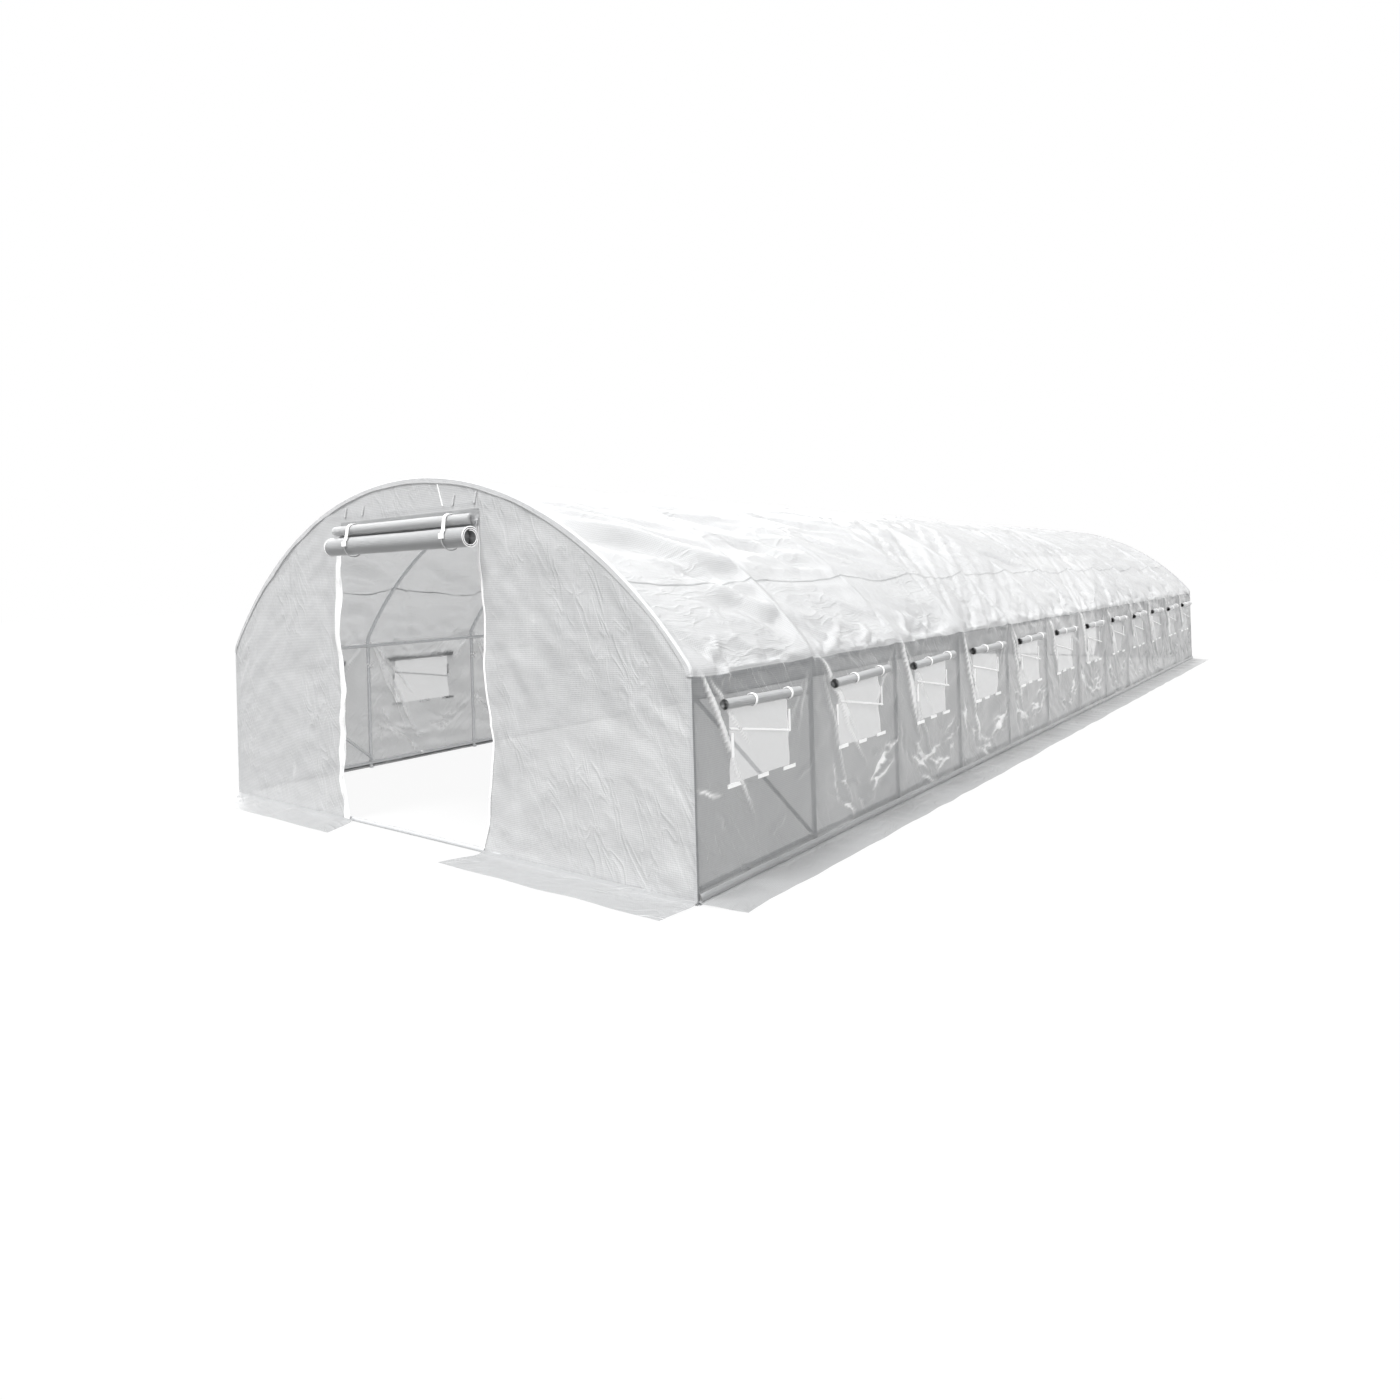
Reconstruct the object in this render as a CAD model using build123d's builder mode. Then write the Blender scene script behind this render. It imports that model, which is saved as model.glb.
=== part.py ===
from build123d import *
import math
import os

# A polytunnel greenhouse: bent steel hoops joined by rails, under a cover of woven film.
# Millimetres. X runs across the tunnel, Y along it with the front facing -Y, and Z up from the ground.

# Overall form, over the cover
tunnel_width = 4000
ridge_height = 2000
eave_height = 1010
bay_length = 1000
bay_count = 12

# Tubes of the frame
tube_diameter = 25
brace_diameter = 20
tube_sides = 8
bend_radius = 80
bend_steps = 2
arch_steps = 16
stub_length = 75
eave_rail_drop = 27
base_rail_height = 45
shoulder_step = 5
header_gap = 13
brace_gap = 6

# Cover
film_thickness = 3
seat_gap = 0.3
seam_share = 0.782
skirt_width = 220
skirt_mitre = 60

# Windows in the side walls, one to a bay
window_width = 500
window_height = 355
window_drop = 147
screen_thickness = 2
screen_margin = 20
window_roll_diameter = 50
window_roll_overhang = 67
window_roll_sides = 8

# Doorway in each gable, with a rolled-up door and a rolled-up screen over it
door_width = 1300
door_drop = 120
door_roll_diameter = 120
door_roll_half_turns = 3
screen_roll_diameter = 70
screen_roll_half_turns = 3
roll_core_share = 0.3
roll_overhang = 20
tail_rise = 20
tie_reach = 450
tie_width = 25
tie_thickness = 2
tie_grip = 40

# Worked-out places of the hoops
tube_radius = tube_diameter / 2
hoop_inset = film_thickness + seat_gap + tube_radius
frame_half_length = bay_length * bay_count / 2
frame_end = frame_half_length + tube_radius
cover_end = frame_end + seat_gap
gable_face = cover_end + film_thickness
hoop_places = [bay_length * i - frame_half_length for i in range(bay_count + 1)]
wall_face = tunnel_width / 2
wall_inner = wall_face - film_thickness
leg_x = wall_face - hoop_inset

# The arch is one circle about arch_centre, joined to the upright leg by a smaller bend about bend_centre.
# The tube is bent to it in short straight steps, whose ends lie on the circle.
arch_rise = ridge_height - eave_height
roof_radius = (wall_face**2 + arch_rise**2) / (2 * arch_rise)
hoop_radius = roof_radius - hoop_inset
arch_centre = (0, ridge_height - roof_radius)
bend_x = leg_x - bend_radius
bend_z = arch_centre[1] + math.sqrt((hoop_radius - bend_radius) ** 2 - bend_x**2)
bend_centre = (bend_x, bend_z)
arch_angle = math.degrees(math.atan2(bend_x, bend_z - arch_centre[1]))
seam_angle = seam_share * arch_angle
film_offset = tube_radius + seat_gap + film_thickness / 2
step_depth = hoop_radius * (1 - math.cos(math.radians(arch_angle / arch_steps / 2)))

# Worked-out places of the rails, all seated on the inner side of the hoops
leg_top = bend_z - stub_length
rail_x = leg_x - tube_diameter - seat_gap
rail_radius = hoop_radius - tube_diameter - seat_gap
eave_rail_z = bend_z - eave_rail_drop
shoulder_angle = arch_angle * shoulder_step / arch_steps
shoulder_x = rail_radius * math.sin(math.radians(shoulder_angle))
shoulder_z = arch_centre[1] + rail_radius * math.cos(math.radians(shoulder_angle))
ridge_z = arch_centre[1] + rail_radius
header_z = shoulder_z - tube_diameter - header_gap

# Worked-out places of the doorway and the rolls over it, at the front gable
door_half = door_width / 2
door_edge_angle = math.degrees(math.asin(door_half / roof_radius))
door_top = header_z - door_drop
roll_half_length = door_half + roll_overhang
door_roll_radius = door_roll_diameter / 2
screen_roll_radius = screen_roll_diameter / 2
door_roll_z = door_top - door_roll_radius
screen_roll_z = door_roll_z + door_roll_radius + seat_gap + screen_roll_radius
tail_top = screen_roll_z + screen_roll_radius + tail_rise
door_tail_y = -gable_face - seat_gap - film_thickness / 2
screen_tail_y = door_tail_y - seat_gap - film_thickness
door_roll_y = door_tail_y + film_thickness / 2 - door_roll_radius
screen_roll_y = screen_tail_y + film_thickness / 2 - screen_roll_radius

# Worked-out places of the windows
window_z = bend_z - window_drop - window_height / 2
window_top = window_z + window_height / 2
window_roll_radius = window_roll_diameter / 2
window_roll_length = window_width + 2 * window_roll_overhang


def save(piece, name):
    """Label a finished piece and write it to a file of its own."""
    piece.label = name
    export_step(piece, f"parts/{name}.step")


def save_mirrored(piece, about, name):
    """Write the piece's mirror image: the left side from the right, or the back from the front."""
    with BuildPart() as opposite:
        mirror(piece, about=about)
    save(opposite.part, name)


def save_pair(piece, right_name, left_name):
    """Write a piece of the right side and its mirror image on the left."""
    save(piece, right_name)
    save_mirrored(piece, Plane.YZ, left_name)


def save_ends(piece, front_name, back_name):
    """Write a piece of the front gable and its mirror image at the back."""
    save(piece, front_name)
    save_mirrored(piece, Plane.XZ, back_name)


def many_sided(radius, sides):
    """A many-sided outline for a round section, with a flat towards each neighbour it lies against."""
    RegularPolygon(radius, sides, major_radius=False, rotation=180 / sides)


def lengthwise_tube(x, z, slope=0):
    """A tube that runs under all the hoops from end to end, turned so that a flat lies against them."""
    with BuildPart() as tube:
        with BuildSketch(Plane.XZ):
            with Locations(Location((x, z), -slope)):
                many_sided(tube_radius, tube_sides)
        extrude(amount=frame_end, both=True)
    return tube.part


def stepped_arc(centre, radius, start_angle, end_angle, steps):
    """The ends of the straight steps along an arc, between two angles from the ridge."""
    angles = [math.radians(start_angle + (end_angle - start_angle) * i / steps) for i in range(steps + 1)]
    return [(centre[0] + radius * math.sin(a), centre[1] + radius * math.cos(a)) for a in angles]


def roof_arc(radius, start_angle, end_angle):
    """An arc about the arch's centre, between two angles from the ridge."""
    CenterArc(arch_centre, radius, 90 - start_angle, start_angle - end_angle)


def bend_arc(radius):
    """The arc that turns the upright wall into the roof."""
    CenterArc(bend_centre, radius, 0, 90 - arch_angle)


def roof_height(x):
    """The height of the roof's outer face over a place across the tunnel."""
    return arch_centre[1] + math.sqrt(roof_radius**2 - x**2)


def roll(tail_y, centre_z, diameter, half_turns):
    """A sheet rolled up into a spiral, hung by a flat tail that lies against the gable."""
    outer_radius = (diameter - film_thickness) / 2
    core_radius = roll_core_share * outer_radius
    growth = (outer_radius - core_radius) / (half_turns - 1)
    with BuildPart() as rolled:
        with BuildSketch(Plane.YZ):
            with BuildLine():
                Line((tail_y, tail_top), (tail_y, centre_z))
                start = tail_y
                side = -1
                for turn in range(half_turns):
                    radius = outer_radius - turn * growth
                    end = start + 2 * side * radius
                    middle = (start + side * radius, centre_z + side * radius)
                    ThreePointArc((start, centre_z), middle, (end, centre_z))
                    start = end
                    side = -side
            trace(line_width=film_thickness)
        extrude(amount=roll_half_length, both=True)
    return rolled.part


os.makedirs("parts", exist_ok=True)

# Hoops: upright legs, and bent arches that stand on them and meet at the ridge
with BuildPart() as legs:
    with BuildSketch():
        with Locations(*[(leg_x, y) for y in hoop_places]):
            many_sided(tube_radius, tube_sides)
    extrude(amount=leg_top)
save_pair(legs.part, "right_legs", "left_legs")

with BuildPart() as half_arch:
    with BuildLine(Plane.XZ) as bent_line:
        bend_points = stepped_arc(bend_centre, bend_radius, 90, arch_angle, bend_steps)
        arch_points = stepped_arc(arch_centre, hoop_radius, arch_angle, 0, arch_steps)
        Polyline((leg_x, leg_top), *bend_points, *arch_points[1:])
    with BuildSketch(Plane.XY.offset(leg_top)):
        with Locations((leg_x, 0)):
            many_sided(tube_radius, tube_sides)
    sweep(path=bent_line.line, transition=Transition.RIGHT)
    split(bisect_by=Plane.YZ)

with BuildPart() as arches:
    with Locations(*[(0, y, 0) for y in hoop_places]):
        add(half_arch.part)
save_pair(arches.part, "right_arches", "left_arches")

# Rails and purlins along the tunnel
save_pair(lengthwise_tube(rail_x, eave_rail_z), "right_eave_rail", "left_eave_rail")
save_pair(lengthwise_tube(rail_x, base_rail_height), "right_base_rail", "left_base_rail")
save_pair(lengthwise_tube(shoulder_x, shoulder_z, shoulder_angle), "right_purlin", "left_purlin")
save(lengthwise_tube(0, ridge_z), "ridge_purlin")

# Gable tubes: a threshold on the ground between the legs, and a header cut to the arch's inner curve
with BuildPart() as threshold:
    with BuildSketch(Plane.YZ):
        with Locations((-frame_half_length, tube_radius)):
            many_sided(tube_radius, tube_sides)
    extrude(amount=leg_x - tube_radius - seat_gap, both=True)
save_ends(threshold.part, "front_threshold_rail", "back_threshold_rail")

with BuildPart() as header:
    with BuildSketch(Plane.YZ):
        with Locations((-frame_half_length, header_z)):
            many_sided(tube_radius, tube_sides)
    extrude(amount=wall_face, both=True)
    with BuildSketch(Plane.XZ.offset(frame_half_length)):
        with Locations(arch_centre):
            Circle(hoop_radius - step_depth - tube_radius - seat_gap)
    extrude(amount=tube_diameter, both=True, mode=Mode.INTERSECT)
save_ends(header.part, "front_header_bar", "back_header_bar")

# Braces: a slanting tube in each corner bay, from the top of the end leg to the foot of the next
brace_radius = brace_diameter / 2
brace_x = leg_x - tube_radius - seat_gap - brace_radius
brace_top = eave_rail_z - tube_radius - brace_radius - brace_gap
brace_foot = base_rail_height + tube_radius + brace_radius + brace_gap
brace_start = Vector(brace_x, -frame_half_length, brace_top)
brace_run = Vector(0, bay_length, brace_foot - brace_top)
with BuildPart() as braces:
    with BuildSketch(Plane(brace_start, x_dir=(1, 0, 0), z_dir=brace_run)):
        many_sided(brace_radius, tube_sides)
    extrude(amount=brace_run.length)
    mirror(about=Plane.XZ)
save_pair(braces.part, "right_braces", "left_braces")

# Side walls, flat from the ground to the start of the bend, with a window cut through in each bay
with BuildPart() as wall:
    with BuildSketch(Plane.YZ.offset(wall_inner)):
        Rectangle(2 * cover_end, bend_z, align=(Align.CENTER, Align.MIN))
        with Locations((0, window_z)):
            with GridLocations(bay_length, 0, bay_count, 1):
                Rectangle(window_width, window_height, mode=Mode.SUBTRACT)
    extrude(amount=film_thickness)
save_pair(wall.part, "right_wall_cover", "left_wall_cover")

with BuildPart() as screens:
    with BuildSketch(Plane.YZ.offset(wall_inner - seat_gap)):
        with Locations((0, window_z)):
            with GridLocations(bay_length, 0, bay_count, 1):
                Rectangle(window_width + 2 * screen_margin, window_height + 2 * screen_margin)
    extrude(amount=-screen_thickness)
save_pair(screens.part, "right_window_screens", "left_window_screens")

with BuildPart() as window_rolls:
    for y in hoop_places[:-1]:
        with BuildSketch(Plane.XZ.offset(-y - bay_length / 2)):
            with Locations((wall_face + seat_gap + window_roll_radius, window_top)):
                many_sided(window_roll_radius, window_roll_sides)
        extrude(amount=window_roll_length / 2, both=True)
save_pair(window_rolls.part, "right_window_rolls", "left_window_rolls")

# Roof: on each side a lower sheet from the wall round the bend to a seam, and an upper one to the ridge
with BuildPart() as lower_roof:
    with BuildSketch(Plane.XZ):
        with BuildLine():
            bend_arc(bend_radius + film_offset)
            roof_arc(hoop_radius + film_offset, arch_angle, seam_angle)
        trace(line_width=film_thickness)
    extrude(amount=cover_end, both=True)
save_pair(lower_roof.part, "right_lower_roof_cover", "left_lower_roof_cover")

with BuildPart() as upper_roof:
    with BuildSketch(Plane.XZ):
        with BuildLine():
            roof_arc(hoop_radius + film_offset, seam_angle, 0)
        trace(line_width=film_thickness)
    extrude(amount=cover_end, both=True)
save_pair(upper_roof.part, "right_upper_roof_cover", "left_upper_roof_cover")

# Gables: a sheet beside the doorway on each side and one over it, all under the roof's outline
with BuildPart() as gable_side:
    with BuildSketch(Plane.XZ.offset(cover_end)):
        with BuildLine():
            bend_arc(bend_radius + hoop_inset)
            roof_arc(roof_radius, arch_angle, door_edge_angle)
            Polyline(
                (door_half, roof_height(door_half)),
                (door_half, 0),
                (wall_face, 0),
                (wall_face, bend_z),
            )
        make_face()
    extrude(amount=film_thickness)
save_ends(gable_side.part, "front_gable_right_panel", "back_gable_right_panel")
with BuildPart() as gable_left:
    mirror(gable_side.part, about=Plane.YZ)
save_ends(gable_left.part, "front_gable_left_panel", "back_gable_left_panel")

with BuildPart() as gable_top:
    with BuildSketch(Plane.XZ.offset(cover_end)):
        with BuildLine():
            roof_arc(roof_radius, door_edge_angle, -door_edge_angle)
            Polyline(
                (-door_half, roof_height(door_half)),
                (-door_half, door_top),
                (door_half, door_top),
                (door_half, roof_height(door_half)),
            )
        make_face()
    extrude(amount=film_thickness)
save_ends(gable_top.part, "front_gable_top_panel", "back_gable_top_panel")

# Door and insect screen, each rolled up over the doorway
door_roll = roll(door_tail_y, door_roll_z, door_roll_diameter, door_roll_half_turns)
save_ends(door_roll, "front_door_roll", "back_door_roll")
screen_roll = roll(screen_tail_y, screen_roll_z, screen_roll_diameter, screen_roll_half_turns)
save_ends(screen_roll, "front_screen_roll", "back_screen_roll")

# Ties: bands slung under both rolls, with one end on each side of the gable's sheet
tie_offset = seat_gap + tie_thickness / 2
tie_front = door_roll_y - door_roll_radius - tie_offset
tie_back = tie_offset - cover_end
tie_high = tail_top + tie_offset
tie_low = door_roll_z - door_roll_radius - tie_offset
screen_front = screen_roll_y - screen_roll_radius - tie_offset
sling_corner = (door_roll_radius + tie_offset) * math.tan(math.radians(45 / 2))
with BuildPart() as ties:
    with BuildSketch(Plane.YZ.offset(-tie_reach), Plane.YZ.offset(tie_reach)):
        with BuildLine():
            Polyline(
                (-gable_face - seat_gap, tie_high),
                (screen_front, tie_high),
                (tie_front, door_top),
                (tie_front, door_roll_z - sling_corner),
                (door_roll_y - sling_corner, tie_low),
                (door_roll_y + sling_corner, tie_low),
                (tie_back, door_roll_z - sling_corner),
                (tie_back, door_top + tie_grip),
            )
        trace(line_width=tie_thickness)
    extrude(amount=tie_width / 2, both=True)
save_ends(ties.part, "front_door_ties", "back_door_ties")

# Skirts: strips of the cover that lie flat on the ground outside the walls
with BuildPart() as side_skirt:
    with BuildSketch():
        with BuildLine():
            Polyline(
                (wall_face, -gable_face),
                (wall_face + skirt_width, skirt_mitre - gable_face),
                (wall_face + skirt_width, gable_face - skirt_mitre),
                (wall_face, gable_face),
                close=True,
            )
        make_face()
    extrude(amount=film_thickness)
save_pair(side_skirt.part, "right_skirt", "left_skirt")

with BuildPart() as end_skirts:
    with BuildSketch():
        with BuildLine():
            Polyline(
                (door_half, -gable_face),
                (wall_face, -gable_face),
                (wall_face - skirt_mitre, -gable_face - skirt_width),
                (door_half, -gable_face - skirt_width),
                close=True,
            )
        make_face()
    extrude(amount=film_thickness)
    mirror(about=Plane.YZ)
save_ends(end_skirts.part, "front_skirts", "back_skirts")
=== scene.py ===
"""A polytunnel greenhouse: steel hoops under a cover of woven film, with rolled-up doors and windows."""

import math

import bpy
import numpy as np
from mathutils import Matrix, Vector


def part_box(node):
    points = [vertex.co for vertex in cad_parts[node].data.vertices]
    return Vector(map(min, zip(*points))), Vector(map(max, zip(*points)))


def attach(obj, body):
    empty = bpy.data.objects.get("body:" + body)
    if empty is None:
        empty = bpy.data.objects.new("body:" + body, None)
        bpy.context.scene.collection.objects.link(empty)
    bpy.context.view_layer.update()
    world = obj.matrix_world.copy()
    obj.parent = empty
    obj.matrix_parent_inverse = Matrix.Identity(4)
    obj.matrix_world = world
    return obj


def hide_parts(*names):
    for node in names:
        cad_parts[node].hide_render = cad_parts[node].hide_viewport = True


rng = np.random.default_rng(11)
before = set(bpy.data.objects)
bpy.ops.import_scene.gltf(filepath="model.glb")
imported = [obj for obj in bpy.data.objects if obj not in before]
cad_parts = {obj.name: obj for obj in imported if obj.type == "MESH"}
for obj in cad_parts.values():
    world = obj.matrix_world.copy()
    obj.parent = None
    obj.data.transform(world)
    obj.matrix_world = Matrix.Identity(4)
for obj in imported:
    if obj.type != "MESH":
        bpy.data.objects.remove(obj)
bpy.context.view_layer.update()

SIDES = (("right", 1), ("left", -1))
ENDS = (("front", -1), ("back", 1))


# Places, measured on the CAD frame in metres

def centre_of(node):
    lo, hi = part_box(node)
    return (lo + hi) / 2


def points_of(node):
    return np.array([v.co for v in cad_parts[node].data.vertices])


# The film's thickness in the solids, half the tunnel's width, the eave's height and the cover's end
wall_lo, wall_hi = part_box("right_wall_cover")
FILM = wall_hi.x - wall_lo.x
HALF = wall_hi.x - FILM / 2
EAVE = wall_hi.z
END = wall_hi.y

# The tubes' radius, and the places of the legs, hoops and bays
leg_lo, leg_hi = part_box("right_legs")
TUBE = (leg_hi.x - leg_lo.x) / 2
LEG_X = (leg_lo.x + leg_hi.x) / 2
LEG_TOP = leg_hi.z
HOOP_DROP = HALF - LEG_X
BAYS = 12
BAY = (leg_hi.y - leg_lo.y - 2 * TUBE) / BAYS
HOOPS = [leg_lo.y + TUBE + BAY * i for i in range(BAYS + 1)]
MIDDLES = np.array([HOOPS[0] + BAY * (i + 0.5) for i in range(BAYS)])
PURLINS = ("right_purlin", "left_purlin", "ridge_purlin")

# The windows, which are smaller than their screens
SCREEN_MARGIN = 0.02
screen_lo, screen_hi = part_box("right_window_screens")
WIN_LOW = screen_lo.z + SCREEN_MARGIN
WIN_HIGH = screen_hi.z - SCREEN_MARGIN
WIN_HALF = HOOPS[0] + BAY / 2 - screen_lo.y - SCREEN_MARGIN

# The arch: a wide roof curve that runs into a tight bend over each leg
roof_points = points_of("right_upper_roof_cover")
RIDGE = roof_points[:, 2].max()
seam_point = roof_points[roof_points[:, 0].argmax()]
SEAM_X = seam_point[0]
seam_fall = RIDGE - seam_point[2]
ROOF_R = (SEAM_X**2 + seam_fall**2) / (2 * seam_fall) - FILM / 2
ARCH_Z = RIDGE - FILM / 2 - ROOF_R
eave_rise = EAVE - ARCH_Z
BEND_R = (ROOF_R**2 - HALF**2 - eave_rise**2) / (2 * (ROOF_R - HALF))
BEND_X = HALF - BEND_R
ARCH_ANGLE = math.atan2(BEND_X, eave_rise)
BEND_LENGTH = BEND_R * (math.pi / 2 - ARCH_ANGLE)
HALF_LENGTH = EAVE + BEND_LENGTH + ROOF_R * ARCH_ANGLE
SEAM_S = EAVE + BEND_LENGTH + ROOF_R * (ARCH_ANGLE - math.asin(SEAM_X / (ROOF_R + FILM / 2)))

# The doorway and the gable's outer face
right_panel_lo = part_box("front_gable_right_panel")[0]
DOOR_HALF = right_panel_lo.x
DOOR_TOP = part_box("front_gable_top_panel")[0].z
GABLE_Y = END + FILM / 2
GABLE_FACE = -right_panel_lo.y


def section(s, lift=0.0):
    """The point across the tunnel at a length s along the film from the right foot, raised by lift."""
    side = 1 if s <= HALF_LENGTH else -1
    up = s if side > 0 else 2 * HALF_LENGTH - s
    if up <= EAVE:
        x, z = HALF + lift, up
    elif up <= EAVE + BEND_LENGTH:
        a = math.pi / 2 - (up - EAVE) / BEND_R
        x, z = BEND_X + (BEND_R + lift) * math.sin(a), EAVE + (BEND_R + lift) * math.cos(a)
    else:
        a = ARCH_ANGLE - (up - EAVE - BEND_LENGTH) / ROOF_R
        x, z = (ROOF_R + lift) * math.sin(a), ARCH_Z + (ROOF_R + lift) * math.cos(a)
    return side * x, z


def roof_height(x):
    """The height of the film over a place across the tunnel."""
    x = min(abs(x), HALF)
    if x <= ROOF_R * math.sin(ARCH_ANGLE):
        return ARCH_Z + math.sqrt(ROOF_R**2 - x**2)
    return EAVE + math.sqrt(max(BEND_R**2 - (x - BEND_X) ** 2, 0.0))


# Shader nodes

def node_tree(name):
    material = bpy.data.materials.new(name)
    material.use_nodes = True
    tree = material.node_tree
    tree.nodes.clear()
    return material, tree


def add_node(tree, kind, links=None, **settings):
    """A node with its settings, its inputs set from numbers or joined to other nodes' outputs."""
    node = tree.nodes.new("ShaderNode" + kind)
    for key, value in settings.items():
        setattr(node, key, value)
    for key, value in (links or {}).items():
        if isinstance(value, bpy.types.NodeSocket):
            tree.links.new(value, node.inputs[key])
        else:
            node.inputs[key].default_value = value
    return node


def math_node(tree, operation, a, b=0.0):
    return add_node(tree, "Math", {0: a, 1: b}, operation=operation).outputs[0]


def less(tree, value, share):
    """One less a share of a value."""
    return math_node(tree, "SUBTRACT", 1.0, math_node(tree, "MULTIPLY", value, share))


def mix_colours(tree, share, first, second):
    return add_node(tree, "Mix", {0: share, 6: first, 7: second}, data_type="RGBA").outputs[2]


def mix_shaders(tree, share, first, second):
    return add_node(tree, "MixShader", {0: share, 1: first, 2: second}).outputs[0]


def flat_noise(tree, place, scale, detail, distortion=0.0):
    return add_node(tree, "TexNoise", {
        "Vector": place, "Scale": scale, "Detail": detail, "Distortion": distortion},
        noise_dimensions="2D").outputs[0]


def stretch(tree, value, low, high):
    """A value spread from its low and high to zero and one."""
    return add_node(tree, "MapRange", {"Value": value, "From Min": low, "From Max": high}).outputs[0]


# Materials

# The white of the painted highlights along creases, and the colour of the folded-back film at the doorway
CREASE_WHITE = (0.97, 0.97, 0.97)
THREAD_HEIGHT = 0.12


def cool_grey(value):
    return value, value + 0.005, value + 0.01


def weave(tree, uv, pitch):
    """The threads of woven film: one along each thread, and nearly zero in the gaps."""
    scale = 2 * math.pi / 20 / pitch
    across, along = (
        add_node(tree, "TexWave", {"Vector": uv, "Scale": scale, "Distortion": 0.0},
                 wave_type="BANDS", bands_direction=axis).outputs["Fac"] for axis in "XY")
    return math_node(tree, "POWER", math_node(tree, "MAXIMUM", across, along), 3.0)


def crinkles(tree, uv, turn):
    """The heights of long creases in patches, along a turned direction, over a fine unevenness."""
    turned = add_node(tree, "Mapping", {"Vector": uv, "Rotation": (0, 0, turn)}).outputs[0]
    streaks = add_node(tree, "Mapping", {"Vector": turned, "Scale": (4.5, 13.0, 1.0)}).outputs[0]
    drawn = flat_noise(tree, streaks, scale=1.0, detail=2.5, distortion=0.6)
    off_crest = math_node(tree, "ABSOLUTE", math_node(tree, "SUBTRACT", drawn, 0.5))
    crest = math_node(tree, "MAXIMUM", less(tree, off_crest, 5.0), 0.0)
    patches = stretch(tree, flat_noise(tree, uv, scale=1.7, detail=1.0), 0.38, 0.62)
    long_creases = math_node(tree, "MULTIPLY", math_node(tree, "POWER", crest, 1.7), patches)
    fine = math_node(tree, "MULTIPLY", flat_noise(tree, uv, scale=26.0, detail=2.0), 0.5)
    return math_node(tree, "ADD", long_creases, fine)


def film_material(name, colour, glow, clear=0.0, open_weave=0.0, pitch=0.0095, crinkle=1.0, crease_turn=0.0,
                  gloss=0.38, through=None, sheen=0.0, painted_highlight=False):
    """Woven film: partly white, partly glowing with light from behind, and see-through between its threads.

    Its UV map is in metres. Where its mesh's crease values are high, it is painted whiter and closer:
    painted highlights and sheen.
    """
    material, tree = node_tree(name)
    uv = add_node(tree, "UVMap").outputs[0]
    threads = weave(tree, uv, pitch)
    height = math_node(tree, "ADD", math_node(tree, "MULTIPLY", crinkles(tree, uv, crease_turn), crinkle),
                       math_node(tree, "MULTIPLY", threads, THREAD_HEIGHT))
    bump = add_node(tree, "Bump", {"Height": height, "Strength": 1.0, "Distance": 0.0045}).outputs[0]

    shade = mix_colours(tree, threads, (*[c * 0.9 for c in colour], 1), (*colour, 1))
    if open_weave:
        gaps = math_node(tree, "SUBTRACT", 1.0, threads)
        clear = math_node(tree, "ADD", math_node(tree, "MULTIPLY", gaps, open_weave), clear)
    # Painted highlight: whiter film, glowing less and less see-through, where the crease values are high
    if painted_highlight:
        crease = add_node(tree, "Attribute", attribute_name="crease").outputs["Fac"]
        whiteness = stretch(tree, crease, 0.25, 0.85)
        shade = mix_colours(tree, whiteness, shade, (*CREASE_WHITE, 1))
        glow = math_node(tree, "MULTIPLY", less(tree, whiteness, 0.5), glow)
        clear = math_node(tree, "MULTIPLY", clear, less(tree, whiteness, 0.7))
    solid = add_node(tree, "BsdfPrincipled", {
        "Base Color": shade, "Roughness": 0.8, "Specular IOR Level": 0.1, "Normal": bump,
        "Sheen Weight": sheen, "Sheen Roughness": 0.3}).outputs[0]
    passed = add_node(tree, "BsdfTranslucent", {
        "Color": (*(through or colour), 1), "Normal": bump}).outputs[0]
    body = mix_shaders(tree, glow, solid, passed)

    shine = add_node(tree, "BsdfGlossy", {"Roughness": gloss, "Normal": bump}).outputs[0]
    facing = add_node(tree, "LayerWeight", {"Blend": 0.5}).outputs["Facing"]
    skim = math_node(tree, "MULTIPLY", math_node(tree, "POWER", facing, 4.0), 0.95)
    body = mix_shaders(tree, math_node(tree, "ADD", skim, 0.02), body, shine)
    if open_weave:
        holes = add_node(tree, "BsdfTransparent", {"Color": (0.97, 0.97, 0.97, 1)}).outputs[0]
        body = mix_shaders(tree, clear, body, holes)
    add_node(tree, "OutputMaterial", {"Surface": body})
    return material


def plain_material(name, colour, roughness, metallic=0.0, grain=0.0, grain_scale=60.0):
    """One surface, with a little unevenness in its colour."""
    material, tree = node_tree(name)
    place = add_node(tree, "TexCoord").outputs["Object"]
    noise = add_node(tree, "TexNoise", {"Vector": place, "Scale": grain_scale, "Detail": 3.0}).outputs[0]
    dark = [c * (1 - grain) for c in colour]
    light = [min(c * (1 + grain), 1) for c in colour]
    solid = add_node(tree, "BsdfPrincipled", {
        "Base Color": mix_colours(tree, noise, (*dark, 1), (*light, 1)),
        "Roughness": roughness, "Metallic": metallic}).outputs[0]
    add_node(tree, "OutputMaterial", {"Surface": solid})
    return material


# The roof, walls and gables are one film in different greys that paint the light on each: light grey on the
# roof, lit from above, and dark grey on the walls, in shade.
FILM_ROOF = film_material("film_roof", cool_grey(0.6), glow=0.2, clear=0.05, open_weave=0.1, crinkle=0.75,
                          gloss=0.32, through=cool_grey(0.75), painted_highlight=True)
FILM_WALL = film_material("film_wall", cool_grey(0.2), glow=0.36, clear=0.13, open_weave=0.12,
                          crease_turn=0.9, gloss=0.32, through=cool_grey(0.75), sheen=1.0, painted_highlight=True)
FILM_GABLE = film_material("film_gable", cool_grey(0.69), glow=0.35, clear=0.05, open_weave=0.1, crinkle=0.6,
                           crease_turn=1.25, gloss=0.32, painted_highlight=True)
FILM_SKIRT = film_material("film_skirt", cool_grey(0.36), glow=0.15, clear=0.05, open_weave=0.1,
                           crease_turn=0.3)
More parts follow.
